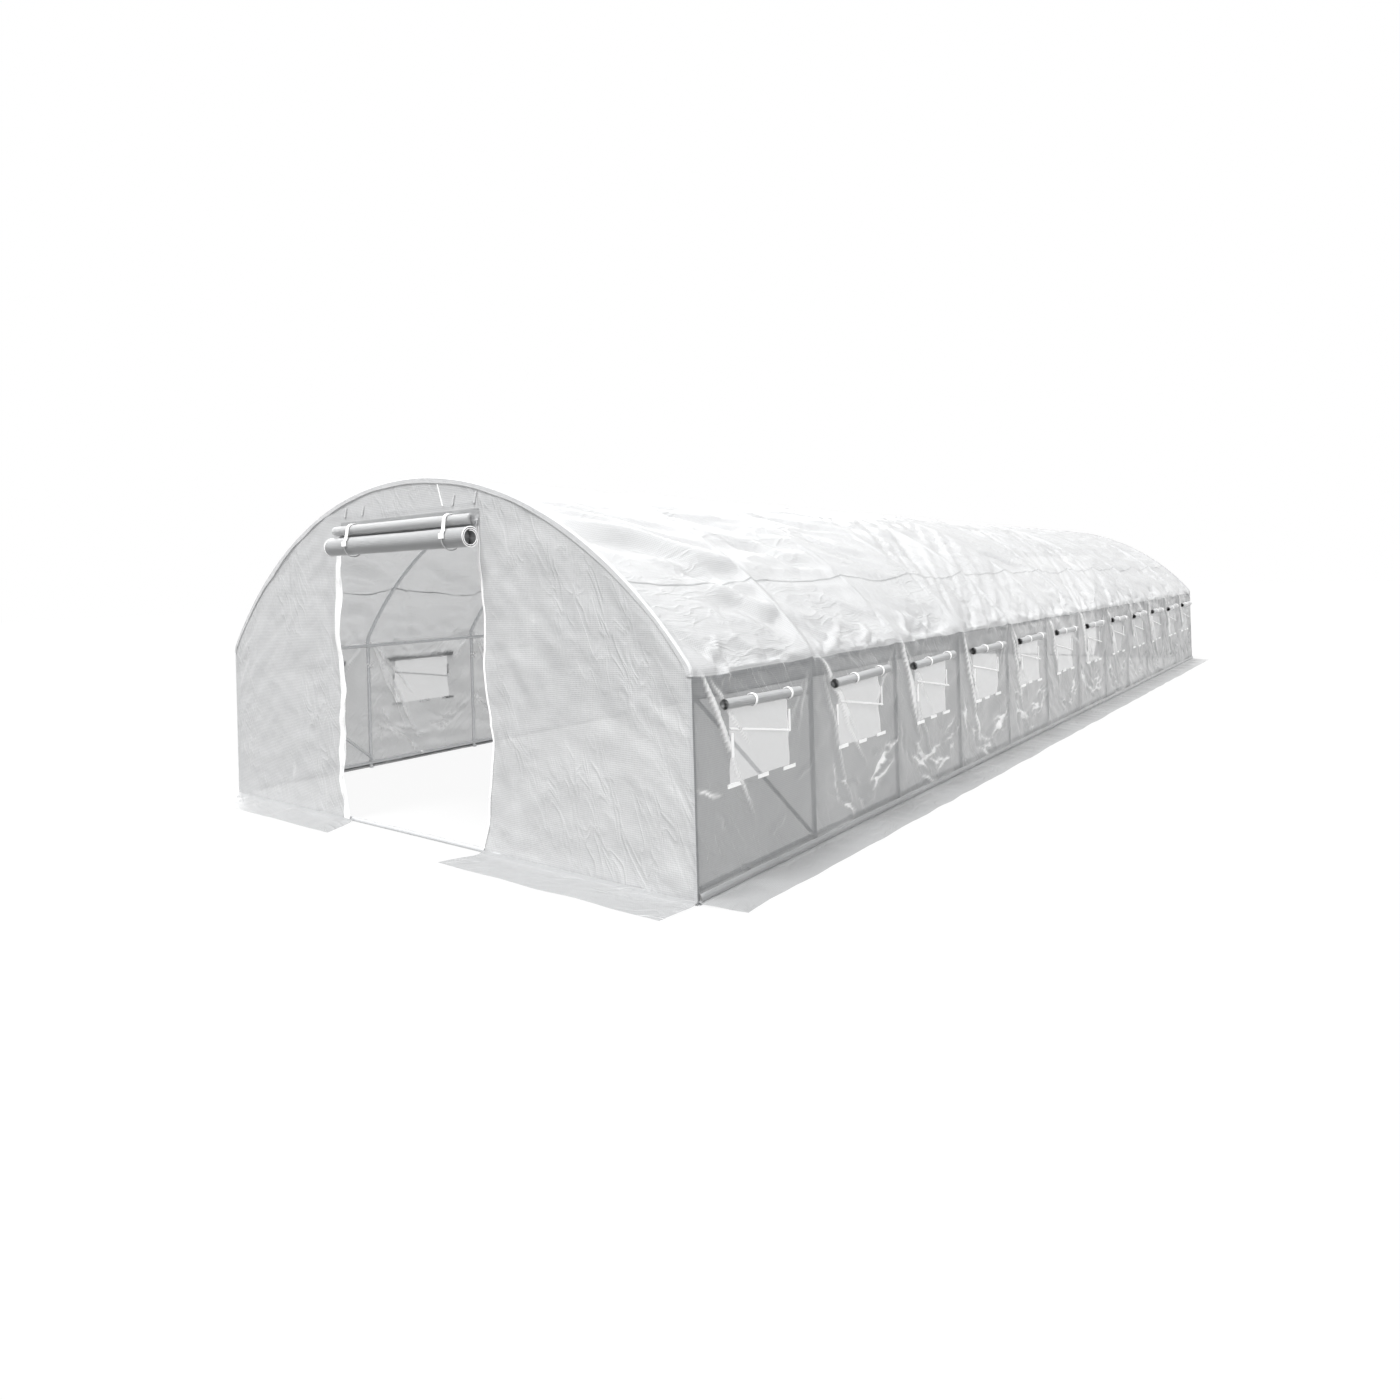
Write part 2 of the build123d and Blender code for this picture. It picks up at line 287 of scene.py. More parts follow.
FILM_SEAM = film_material("film_seam", cool_grey(0.36), glow=0.1, crinkle=0.3)
FILM_ROLLED = film_material("film_rolled", cool_grey(0.38), glow=0.1, crinkle=0.5)
FILM_FLAP = film_material("film_flap", cool_grey(0.4), glow=0.1, crinkle=0.5)
HEM = film_material("film_hem", cool_grey(0.7), glow=0.2, crinkle=0.45, crease_turn=1.57)
FILM_EDGE = film_material("film_edge", CREASE_WHITE, glow=0.05, crinkle=1.2, crease_turn=1.57)
MESH = film_material("insect_mesh", cool_grey(0.7), glow=0.25, clear=0.34, open_weave=0.15, pitch=0.004,
                     crinkle=0.3, gloss=0.8, painted_highlight=True)
STEEL = plain_material("galvanised_steel", (0.62, 0.63, 0.64), 0.34, metallic=0.45, grain=0.14,
                       grain_scale=35.0)
WHITE_TAPE = plain_material("white_tape", (0.95, 0.95, 0.95), 0.75, grain=0.03)


# Meshes from arrays of points

def joined(*coordinates):
    """Points or UV places from arrays of their coordinates, spread over each other's rows and columns."""
    return np.stack(np.broadcast_arrays(*coordinates), axis=-1)


def link_mesh(name, mesh, material):
    mesh.materials.append(material)
    obj = bpy.data.objects.new(name, mesh)
    bpy.context.scene.collection.objects.link(obj)
    return obj


def mesh_object(name, points, faces, material, uv=None, crease=None):
    """A smooth mesh object from points and faces that all have the same number of corners."""
    points = np.asarray(points, dtype=np.float32)
    faces = np.asarray(faces, dtype=np.int32)
    mesh = bpy.data.meshes.new(name)
    mesh.vertices.add(len(points))
    mesh.vertices.foreach_set("co", points.ravel())
    mesh.loops.add(faces.size)
    mesh.loops.foreach_set("vertex_index", faces.ravel())
    mesh.polygons.add(len(faces))
    mesh.polygons.foreach_set("loop_start", np.arange(0, faces.size, faces.shape[1], dtype=np.int32))
    if uv is not None:
        layer = mesh.uv_layers.new(name="UVMap")
        layer.data.foreach_set("uv", np.asarray(uv, dtype=np.float32)[faces.ravel()].ravel())
    if crease is not None:
        values = mesh.attributes.new("crease", "FLOAT", "POINT").data
        values.foreach_set("value", np.asarray(crease, dtype=np.float32))
    mesh.update(calc_edges=True)
    mesh.shade_smooth()
    return link_mesh(name, mesh, material)


def grid_faces(rows, columns, keep=None):
    """The four-cornered faces of a grid of points stored row by row, or only the cells that are kept."""
    index = np.arange(rows * columns).reshape(rows, columns)
    faces = np.stack([index[:-1, :-1], index[:-1, 1:], index[1:, 1:], index[1:, :-1]], axis=-1)
    return faces.reshape(-1, 4) if keep is None else faces[keep]


def sheet_object(name, points, keep, material, uv, crease):
    """A mesh object from the kept cells of a grid of points."""
    faces = grid_faces(*points.shape[:2], keep)
    used, places = np.unique(faces, return_inverse=True)
    return mesh_object(name, points.reshape(-1, 3)[used], places.reshape(faces.shape), material,
                       uv.reshape(-1, 2)[used], crease.ravel()[used])


class Bits:
    """Gathers the points and faces of small shapes into one piece."""

    def __init__(self):
        self.points, self.faces, self.uvs = [], [], []

    def grid(self, points, uv=None, closed=False):
        """A sheet of points, in rows. With closed, each row's end joins its start."""
        points = np.asarray(points, dtype=float)
        rows, columns = points.shape[:2]
        start = len(self.points)
        self.points.extend(map(tuple, points.reshape(-1, 3)))
        if uv is None:
            uv = np.stack(np.meshgrid(np.arange(columns), np.arange(rows)), axis=-1) * 0.01
        self.uvs.extend(map(tuple, np.asarray(uv, dtype=float).reshape(-1, 2)))
        for i in range(rows - 1):
            for j in range(columns if closed else columns - 1):
                k = (j + 1) % columns
                self.faces.append((start + i * columns + j, start + i * columns + k,
                                   start + (i + 1) * columns + k, start + (i + 1) * columns + j))
        return start

    def rings(self, points):
        """A skin over rings of points, with closed ends."""
        count, sides = points.shape[:2]
        start = self.grid(points, closed=True)
        last = start + (count - 1) * sides
        self.faces.append(tuple(reversed(range(start, start + sides))))
        self.faces.append(tuple(range(last, last + sides)))

    def tube(self, path, radius, sides=12):
        """A round tube with closed ends along a path of points."""
        path = np.asarray(path, dtype=float)
        along = np.gradient(path, axis=0)
        along /= np.linalg.norm(along, axis=1)[:, None]
        side = np.cross(along[0], (0.31, 0.87, 0.38))
        side /= np.linalg.norm(side)
        turn = np.linspace(0, 2 * math.pi, sides, endpoint=False)
        rings = []
        for p, d in zip(path, along):
            side = side - d * side.dot(d)
            side /= np.linalg.norm(side)
            other = np.cross(d, side)
            rings.append(p + radius * (np.cos(turn)[:, None] * side + np.sin(turn)[:, None] * other))
        self.rings(np.array(rings))

    def block(self, centre, size):
        """A box with its sides along the axes."""
        corners = [Vector((x * size[0] / 2, y * size[1] / 2, z * size[2] / 2))
                   for x in (-1, 1) for y in (-1, 1) for z in (-1, 1)]
        start = len(self.points)
        self.points.extend(tuple(Vector(centre) + c) for c in corners)
        self.uvs.extend((c.x, c.y) for c in corners)
        for f in ((0, 1, 3, 2), (4, 6, 7, 5), (0, 4, 5, 1), (2, 3, 7, 6), (0, 2, 6, 4), (1, 5, 7, 3)):
            self.faces.append(tuple(start + i for i in f))

    def strap(self, path, width, across, thickness=0.002):
        """A flat strap along a path of points, with its width in one direction."""
        path = np.asarray(path, dtype=float)
        across = np.asarray(across, dtype=float) / np.linalg.norm(across)
        along = np.gradient(path, axis=0)
        face = np.cross(along, across)
        face /= np.linalg.norm(face, axis=1)[:, None] + 1e-12
        w, t = across * width / 2, face * thickness / 2
        self.rings(np.stack([path - w - t, path + w - t, path + w + t, path - w + t], axis=1))

    def object(self, name, material):
        mesh = bpy.data.meshes.new(name)
        mesh.from_pydata(self.points, [], self.faces)
        layer = mesh.uv_layers.new(name="UVMap")
        loops = np.zeros(len(mesh.loops), dtype=np.int32)
        mesh.loops.foreach_get("vertex_index", loops)
        layer.data.foreach_set("uv", np.asarray(self.uvs, dtype=np.float32)[loops].ravel())
        mesh.update()
        mesh.shade_smooth()
        mesh.set_sharp_from_angle(angle=math.radians(50))
        return link_mesh(name, mesh, material)


def piece(obj, slot, *stands_for):
    """Makes an object part of the tunnel, in place of the CAD nodes that it stands for."""
    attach(obj, "root")
    if stands_for:
        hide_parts(*stands_for)
    return obj


def steel(bits, name, *stands_for):
    piece(bits.object(name, STEEL), "galvanised_steel", *stands_for)


def trim(bits, name, material=WHITE_TAPE, stands_for=()):
    piece(bits.object(name, material), "webbing", *stands_for)


# How far soft noise blurs, as a share of the squares of its lengths
BLUR = 0.16


def soft_noise(shape, spacing, lengths):
    """Smooth random values over a grid with the given spacing, that change over these lengths each way."""
    values = rng.standard_normal(shape)
    spectrum = np.fft.rfft2(values)
    fy = np.fft.fftfreq(shape[0], spacing[0])[:, None]
    fx = np.fft.rfftfreq(shape[1], spacing[1])
    spectrum *= np.exp(-2 * (math.pi**2) * ((fy * lengths[0]) ** 2 + (fx * lengths[1]) ** 2) * BLUR)
    values = np.fft.irfft2(spectrum, s=shape)
    return values / values.std()


# Film at rest: it keeps its lengths, so that any slack turns into folds

def pull(points, free, a, b, rest, on):
    """Moves the ends of one set of edges towards their rest lengths."""
    gap = points[b] - points[a]
    length = np.sqrt((gap * gap).sum(-1)) + 1e-9
    weight = free[a] + free[b] + 1e-9
    move = (on * (length - rest) / (length * weight))[..., None] * gap
    points[a] += free[a][..., None] * move
    points[b] -= free[b][..., None] * move


def settle(points, start, normal, free, slack_s, slack_y, lowest, highest, steps, weight, smooth,
           cells=None):
    """Lets a grid of film hang from its held points and fold up its slack, within limits off its start."""
    rows, columns = free.shape
    cells = np.ones((rows - 1, columns - 1), dtype=bool) if cells is None else cells
    padded = np.pad(cells, 1)
    on_s = (padded[1:-1, :-1] | padded[1:-1, 1:]).astype(float)
    on_y = (padded[:-1, 1:-1] | padded[1:, 1:-1]).astype(float)
    on_d = cells.astype(float)
    rest_s = np.linalg.norm(start[1:] - start[:-1], axis=-1) * (1 + slack_s[:-1])
    rest_y = np.linalg.norm(start[:, 1:] - start[:, :-1], axis=-1) * (1 + slack_y[:, :-1])
    slack_d = (slack_s[:-1, :-1] + slack_y[:-1, :-1]) / 2
    rest_d = np.linalg.norm(start[1:, 1:] - start[:-1, :-1], axis=-1) * (1 + slack_d)
    rest_e = np.linalg.norm(start[1:, :-1] - start[:-1, 1:], axis=-1) * (1 + slack_d)
    for step in range(steps):
        points[..., 2] -= weight * free
        for first in (0, 1):
            a, b = slice(first, rows - 1, 2), slice(first + 1, rows, 2)
            pull(points, free, (a,), (b,), rest_s[a], on_s[a])
            a2, b2 = slice(first, columns - 1, 2), slice(first + 1, columns, 2)
            pull(points, free, (slice(None), a2), (slice(None), b2), rest_y[:, a2], on_y[:, a2])
            pull(points, free, (a, slice(0, -1)), (b, slice(1, None)), rest_d[a], 0.5 * on_d[a])
            pull(points, free, (a, slice(1, None)), (b, slice(0, -1)), rest_e[a], 0.5 * on_d[a])
        moved = points - start
        mean = moved.copy()
        mean[1:-1, 1:-1] = (moved[:-2, 1:-1] + moved[2:, 1:-1] + moved[1:-1, :-2] + moved[1:-1, 2:]) / 4
        moved += (smooth * free)[..., None] * (mean - moved)
        out = (moved * normal).sum(-1)
        moved += ((np.clip(out, lowest, highest) - out) * (free > 0))[..., None] * normal
        points = start + moved
    return points


def add_crease(field, down, along, centre, turn, length, width, height):
    """Adds one sharp fold to a field of heights: a line with straight flanks that fades at both ends."""
    reach = max(length, width)
    r0, r1 = np.searchsorted(down, (centre[0] - reach, centre[0] + reach))
    c0, c1 = np.searchsorted(along, (centre[1] - reach, centre[1] + reach))
    v = down[r0:r1, None] - centre[0]
    u = along[None, c0:c1] - centre[1]
    t = (u * math.cos(turn) + v * math.sin(turn)) / length
    waver = 0.25 * width * np.sin(7 * t)
    w = np.abs(v * math.cos(turn) - u * math.sin(turn) + waver) / width
    field[r0:r1, c0:c1] += height * np.clip(1 - t * t, 0, 1) * np.clip(1 - w, 0, 1)


# The cover: one sheet from ground to ground, over the hoops

WALL_STEP = 0.0125
ROOF_STEP = 0.025
CELLS = 80


def steps_between(low, high, step):
    """Even steps from low to just under high."""
    count = max(round((high - low) / step), 1)
    return [low + (high - low) * i / count for i in range(count)]


wall_steps = steps_between(0, WIN_LOW, WALL_STEP) + steps_between(WIN_LOW, WIN_HIGH, WALL_STEP)
wall_steps += steps_between(WIN_HIGH, EAVE, WALL_STEP)
half_steps = wall_steps + steps_between(EAVE, EAVE + BEND_LENGTH, ROOF_STEP)
half_steps += steps_between(EAVE + BEND_LENGTH, HALF_LENGTH, ROOF_STEP) + [HALF_LENGTH]
# Rows are lengths from the right foot over to the left one, and columns are places along the tunnel
S = np.array(half_steps + [2 * HALF_LENGTH - s for s in reversed(half_steps[:-1])])
Y = np.concatenate([[-END], np.linspace(HOOPS[0], HOOPS[-1], BAYS * CELLS + 1), [END]])
NS, NY = len(S), len(Y)
N_WALL = len(wall_steps)
UP = np.minimum(S, 2 * HALF_LENGTH - S)

section_points = np.array([section(s) for s in S])
section_out = np.array([section(s, 1.0) for s in S]) - section_points
straight = joined(section_points[:, None, 0], Y, section_points[:, None, 1])
normal = joined(section_out[:, None, 0], np.zeros((1, NY)), section_out[:, None, 1])

bay_of = np.clip(np.floor((Y - HOOPS[0]) / BAY), 0, BAYS - 1).astype(int)
bay_share = np.clip((Y - HOOPS[0]) / BAY - bay_of, 0, 1)
hoop_share = np.minimum(bay_share, 1 - bay_share)
belly = np.sin(math.pi * bay_share)
on_hoop = np.isclose(bay_share, 0) | np.isclose(bay_share, 1) | (np.abs(Y) > HOOPS[-1] - 1e-6)
is_roof = np.zeros(NS, dtype=bool)
is_roof[N_WALL:NS - N_WALL] = True
free = np.ones((NS, NY))
free[:, on_hoop] = 0
free[[0, -1]] = 0


# Slack and soft folds. The first bay is calmer than the others.

FIRST_SLOPE = 0.5
FIRST_SLACK = 0.6
FIRST_CALM = 0.4
MOST_SLACK = 0.04


def cover_noise(length_s, length_y):
    return soft_noise((NS, NY), ((WALL_STEP + ROOF_STEP) / 2, BAY / CELLS), (length_s, length_y))


def slanted(values, slope):
    """The same values, sliding down both roof sides along each bay by a share of its length."""
    slid = np.empty_like(values)
    middle = NS // 2
    for column in range(NY):
        shift = int(round(slope[bay_of[column]] * (bay_share[column] - 0.5) * CELLS))
        slid[:middle, column] = np.roll(values[:, column], -shift)[:middle]
        slid[middle:, column] = np.roll(values[:, column], shift)[middle:]
    return slid


bay_slope = rng.uniform(-0.5, 0.6, BAYS)
bay_slope[0] = FIRST_SLOPE
long_folds = slanted(cover_noise(0.09, 0.6), bay_slope)
broad_folds = slanted(cover_noise(0.2, 0.7), bay_slope)
cross_folds = cover_noise(0.16, 0.16)
rng.standard_normal((NS, NY))  # a draw that is left unused, so that the folds below stay where they are
slack_of_bay = rng.uniform(0.7, 1.3, BAYS)
slack_of_bay[0] = FIRST_SLACK
bay_slack = slack_of_bay[bay_of]
patches = cover_noise(0.5, 0.5)
at_eave = np.exp(-((UP - EAVE - 0.04) / 0.12) ** 2)[:, None]

slack_s = (0.018 + 0.005 * patches) * (belly**0.5 * bay_slack)
slack_y = (0.0018 + 0.003 * at_eave) * bay_slack
slack_s[~is_roof] *= 0.5
slack_y[~is_roof] *= 0.9
slack_s = np.clip(slack_s, 0, MOST_SLACK)

roof_seed = 0.010 * (0.8 - np.abs(long_folds)) + 0.006 * broad_folds + 0.003 * cross_folds - 0.012 * belly
wall_seed = 0.003 * long_folds + 0.005 * cross_folds - 0.004 * belly
seed = np.where(is_roof[:, None], roof_seed, wall_seed) * np.where(bay_of == 0, FIRST_CALM, 1.0)
seed += at_eave * belly * (-0.024 + 0.007 * cover_noise(0.1, 0.12))


# Sharp folds, bay by bay

creases = np.zeros((NS, NY))
# The cover's crease values: painted highlights along fold crests, and on the walls a painted sheen
white_lines = np.zeros((NS, NY))
LEAST_WHITE_WIDTH = 0.017


def either(height):
    """A fold's height, outwards or inwards."""
    return rng.choice([-1, 1]) * height


def fold(bay, side, up, share, turn, length, width, height, white=0.0):
    """One fold: a length up one side from its foot, a share of a bay along, and a painted highlight along it
    where white is given.
    """
    centre = (up if side > 0 else 2 * HALF_LENGTH - up, HOOPS[bay] + share * BAY)
    add_crease(creases, S, Y, centre, side * turn, length, width, height)
    if white:
        white_width = max(0.8 * width, LEAST_WHITE_WIDTH)
        add_crease(white_lines, S, Y, centre, side * turn, length, white_width, white)


def roof_folds(bay, side):
    """Valleys and small folds that slant down the roof towards the next hoop."""
    for i in range(3 if bay else 0):
        fold(bay, side, up=rng.uniform(EAVE + 0.35, HALF_LENGTH - 0.1), share=rng.uniform(0.4, 0.65),
             turn=-rng.uniform(0.3, 0.6), length=rng.uniform(0.35, 0.6), width=rng.uniform(0.05, 0.1),
             height=-rng.uniform(0.008, 0.022))
    for i in range(16 if bay else 7):
        fold(bay, side, up=rng.uniform(EAVE + 0.12, HALF_LENGTH), share=rng.uniform(0.1, 0.9),
             turn=rng.normal(-0.4, 0.2), length=rng.uniform(0.15, 0.5), width=rng.uniform(0.025, 0.06),
             height=either(rng.uniform(0.004, 0.011)))


def eave_folds(bay, side):
    """Short folds where the film turns over the eave."""
    for i in range(7):
        fold(bay, side, up=rng.uniform(EAVE - 0.02, EAVE + 0.16), share=rng.uniform(0.12, 0.88),
             turn=either(rng.uniform(0.3, 0.9)), length=rng.uniform(0.08, 0.2),
             width=rng.uniform(0.025, 0.045), height=either(rng.uniform(0.005, 0.011)))


def wall_fan(bay, side):
    """Folds that fan out down the wall from the foot of the arch, and shorter ones from the next hoop."""
    for i in range(rng.integers(3, 6)):
        slope = rng.uniform(0.85, 1.25)
        half = rng.uniform(0.25, 0.52)
        fold(bay, side, up=EAVE + 0.04 - half * math.sin(slope),
             share=0.03 + half * math.cos(slope) + rng.uniform(0, 0.05), turn=-slope, length=half,
             width=rng.uniform(0.013, 0.026), height=rng.uniform(0.012, 0.022), white=rng.uniform(0.8, 1.5))
    for i in range(rng.integers(0, 3)):
        slope = rng.uniform(0.8, 1.2)
        half = rng.uniform(0.12, 0.25)
        fold(bay, side, up=EAVE - 0.02 - half * math.sin(slope), share=0.97 - half * math.cos(slope),
             turn=slope, length=half, width=rng.uniform(0.018, 0.03), height=rng.uniform(0.003, 0.008),
             white=rng.uniform(0.3, 0.8))


CRUMPLES = (4, 16, 22, 28, 24, 18, 22, 20, 16, 14, 10, 8)


def wall_crumples(bay, side):
    """Crumpled film low on the wall, in a swag from hoop to hoop."""
    for i in range(CRUMPLES[bay]):
        share = rng.uniform(0.06, 0.94)
        swag = 2 * share - 1
        fold(bay, side, up=0.16 + 0.3 * abs(swag) ** 1.5 + rng.normal(0, 0.05), share=share,
             turn=swag * 0.9 + rng.normal(-0.25, 0.3), length=rng.uniform(0.05, 0.19),
             width=rng.uniform(0.013, 0.026), height=either(rng.uniform(0.005, 0.011)),
             white=rng.uniform(0.1, 1.2))


# The first bay's long steps: above the seam, share of the bay, half length, width and height
FIRST_BAY_STEPS = (
    (0.26, 0.56, 0.72, 0.13, 0.026),
    (0.50, 0.50, 0.65, 0.07, 0.010),
    (0.70, 0.45, 0.60, 0.06, 0.008),
    (0.02, 0.72, 0.45, 0.08, 0.013),
    (-0.20, 0.78, 0.38, 0.11, 0.018),
)
STEP_TURN = -0.47


def first_bay_steps(side):
    """Long steps across the first bay, each a ridge above a valley."""
    for above, share, length, width, height in FIRST_BAY_STEPS:
        for way in (-1, 1):
            fold(0, side, SEAM_S + above + way * width / 2, share, STEP_TURN, length, width, way * height)


for bay in range(BAYS):
    for side, sign in SIDES:
        roof_folds(bay, sign)
        eave_folds(bay, sign)
        wall_fan(bay, sign)
        wall_crumples(bay, sign)
for side, sign in SIDES:
    first_bay_steps(sign)
creases *= np.clip(hoop_share / 0.05, 0, 1) * np.clip(UP / 0.08, 0, 1)[:, None]

# Wall film is painted whiter, more from bay to bay up to the fifth one: a painted sheen that lightens the
# walls further off.
painted_sheen = 0.25 + 0.13 * np.clip(bay_of / 4, 0, 1) + 0.03 * patches
white_lines = np.clip(np.where(is_roof[:, None], white_lines, np.maximum(white_lines, painted_sheen)), 0, 1)


# How far the film may move off its straight place, so that it stays clear of tubes, rolls and screens

ROOF_SAG, ROOF_RISE = 0.085, 0.025
WALL_SAG, WALL_RISE = 0.03, 0.022
HOOP_SLOPE = 0.35
TUBE_SAG, PURLIN_REACH, RAIL_REACH = 0.021, 0.075, 0.06
FOOT_SAG, FOOT_REACH = 0.008, 0.12
WINDOW_SAG, WINDOW_REACH = 0.014, 0.04
FLAP_SAG, FLAP_REACH, FLAP_OVERHANG = 0.001, 0.045, 0.07


def cover_limits():
    lowest = np.where(is_roof[:, None], -ROOF_SAG, -WALL_SAG) * np.ones((NS, NY))
    highest = np.where(is_roof[:, None], ROOF_RISE, WALL_RISE) * np.ones((NS, NY))
    lowest = np.maximum(lowest, -HOOP_SLOPE * (hoop_share * BAY))
    over = np.abs(UP - centre_of("right_eave_rail").z) < RAIL_REACH
    for node in PURLINS:
        tube = centre_of(node)
        over |= np.hypot(section_points[:, 0] - tube.x, section_points[:, 1] - tube.z) < PURLIN_REACH
    lowest[over] = np.maximum(lowest[over], -TUBE_SAG)
    at_foot = UP < FOOT_REACH
    lowest[at_foot] = np.maximum(lowest[at_foot], -FOOT_SAG)
    by_window = (np.abs(Y - MIDDLES[bay_of]) <= WIN_HALF + FLAP_OVERHANG)
    highest[(np.abs(UP - WIN_HIGH) < FLAP_REACH)[:, None] & by_window] = -FLAP_SAG
    at_window = (UP > WIN_LOW - WINDOW_REACH) & (UP < WIN_HIGH + WINDOW_REACH)
    lowest[at_window[:, None] & by_window] = -WINDOW_SAG
    return lowest, highest


lowest, highest = cover_limits()
points = straight + np.clip((seed + creases) * (free > 0), lowest, highest)[..., None] * normal
points = settle(points, straight, normal, free, slack_s, slack_y, lowest, highest, steps=40, weight=2e-4,
                smooth=0.012)
out = ((points - straight) * normal).sum(-1)
points += (np.clip(out + creases, lowest, highest) - out)[..., None] * normal * (free > 0)[..., None]


# The cover's pieces: roof halves with their seams, then walls with their screens

cell_s = (S[1:] + S[:-1]) / 2
cell_up = np.minimum(cell_s, 2 * HALF_LENGTH - cell_s)
cell_y = (Y[1:] + Y[:-1]) / 2
cell_bay = np.clip(np.floor((cell_y - HOOPS[0]) / BAY), 0, BAYS - 1).astype(int)
window_y = np.abs(cell_y - MIDDLES[cell_bay]) < WIN_HALF
window = ((cell_up > WIN_LOW) & (cell_up < WIN_HIGH))[:, None] & window_y
cell_rows = np.arange(NS - 1)[:, None] + np.zeros(NY - 1, dtype=int)
wall_cells = {"right": cell_rows < N_WALL, "left": cell_rows >= NS - 1 - N_WALL}
side_cells = {"right": cell_rows < NS // 2, "left": cell_rows >= NS // 2}
SEAM_WIDTH = 0.01
SEAM_LIFT = 0.0015
SEAM_DIP = 0.03
SCREEN_SINK = 0.002


def cover_piece(name, keep, material, lift=0.0):
    uv = joined(Y, S[:, None])
    return sheet_object(name, points + lift * normal, keep, material, uv, white_lines)


def make_roof(side):
    roof = cover_piece(f"cover_{side}_roof", side_cells[side] & ~wall_cells[side], FILM_ROOF)
    piece(roof, "film", f"{side}_lower_roof_cover", f"{side}_upper_roof_cover")
    return roof


def film_line(distances):
    """Points on the settled film, one for each place along it, at these lengths from the right foot."""
    row = np.clip(np.searchsorted(S, distances) - 1, 0, NS - 2)
    share = ((distances - S[row]) / (S[row + 1] - S[row]))[:, None]
    column = np.arange(NY)
    return points[row, column] * (1 - share) + points[row + 1, column] * share


def make_seam(side, sign, roof):
    """The weld seam of one roof half, which dips between the hoops."""
    dip = SEAM_DIP * belly * rng.uniform(0.5, 1.6, BAYS)[bay_of]
    edges = []
    for off in (-SEAM_WIDTH / 2, SEAM_WIDTH / 2):
        up = SEAM_S - dip + off
        distance = up if sign > 0 else 2 * HALF_LENGTH - up
        edges.append(film_line(distance) + SEAM_LIFT * normal[np.searchsorted(S, distance), 0])
    seam = Bits()
    seam.grid(np.array(edges), uv=joined(Y, np.array([0, SEAM_WIDTH])[:, None]))
    obj = piece(seam.object(f"roof_seam_{side}", FILM_SEAM), "film")


def make_wall(side):
    """One side wall, with the screens in its windows."""
    wall = cover_piece(f"cover_{side}_wall", wall_cells[side] & ~window, FILM_WALL)
    piece(wall, "film", f"{side}_wall_cover")
    screens = cover_piece(f"screens_{side}", wall_cells[side] & window, MESH, lift=-SCREEN_SINK)
    piece(screens, "insect_mesh", f"{side}_window_screens")
    return wall


roofs = {side: make_roof(side) for side, sign in SIDES}
for side, sign in SIDES:
    make_seam(side, sign, roofs[side])
walls = {side: make_wall(side) for side, sign in SIDES}


def film_at(side, y, z):
    """How far out the wall's film stands at a point of one wall."""
    row = np.abs(S - z).argmin() if side > 0 else NS - 1 - np.abs(S - z).argmin()
    column = np.abs(Y - y).argmin()
    return points[row, column, 0] * side


# Gables: film across the end hoops, with the doorway left open

GABLE_STEP = 0.025
CORNER_X = 1.9
BESIDE_DOOR = 0.25
DRIFT_REACH = 0.22
BEHIND_ROLLS = 1.55
GABLE_SAG, GABLE_RISE, GABLE_TUBE_SAG = 0.012, 0.022, 0.001
GABLE_TUBE_REACH = 0.05
GABLE_UV = 7.0  # where the gable lies in the film's pattern of creases


def gable_grid():
    """Points of a gable sheet, their rows following the arch and the doorway's top."""
    inner = np.linspace(0, DOOR_HALF, 27)
    outer = np.concatenate([np.linspace(DOOR_HALF, CORNER_X, 51)[1:], np.linspace(CORNER_X, HALF, 6)[1:]])
    half_x = np.concatenate([inner, outer])
    x = np.concatenate([-half_x[:0:-1], half_x])
    top = np.array([roof_height(v) for v in x])
    knee = np.where(np.abs(x) <= DOOR_HALF, DOOR_TOP, DOOR_TOP / roof_height(DOOR_HALF) * top)
    lower, upper = np.linspace(0, 1, 69), np.linspace(0, 1, 11)[1:]
    z = np.concatenate([lower[:, None] * knee, knee + upper[:, None] * (top - knee)])
    return x, z, top, len(lower) - 1


def drift(x, z, knots, edge):
    """How far the film beside the door stands from a straight edge."""
    heights, shifts = zip(*knots)
    return np.interp(z, heights, shifts) * np.exp(-np.abs(x - edge) / DRIFT_REACH)


def gable_creases(heights, x):
    """Sharp folds on both sides of the doorway, a few long and many short, with painted highlights along
    their crests.
    """
    folds, painted_highlight = np.zeros((len(heights), len(x))), np.zeros((len(heights), len(x)))
    for side in (-1, 1):
        for i in range(5):
            place = (rng.uniform(0.3, 1.0), side * rng.uniform(0.9, 1.4))
            turn, length = side * rng.uniform(0.8, 1.1), rng.uniform(0.3, 0.5)
            add_crease(folds, heights, x, place, turn, length, width=0.04, height=rng.uniform(0.003, 0.006))
            add_crease(painted_highlight, heights, x, place, turn, length, width=0.03, height=rng.uniform(0.1, 0.35))
        for i in range(40):
            place = (rng.uniform(0.1, 1.6), side * rng.uniform(0.68, 1.9))
            turn, length = side * rng.normal(-1.25, 0.3), rng.uniform(0.08, 0.3)
            add_crease(folds, heights, x, place, turn, length, width=rng.uniform(0.035, 0.06),
                       height=rng.choice([-0.7, 1]) * rng.uniform(0.003, 0.007))
            add_crease(painted_highlight, heights, x, place, turn, length, width=0.04, height=rng.uniform(0.0, 0.45))
    return folds, painted_highlight


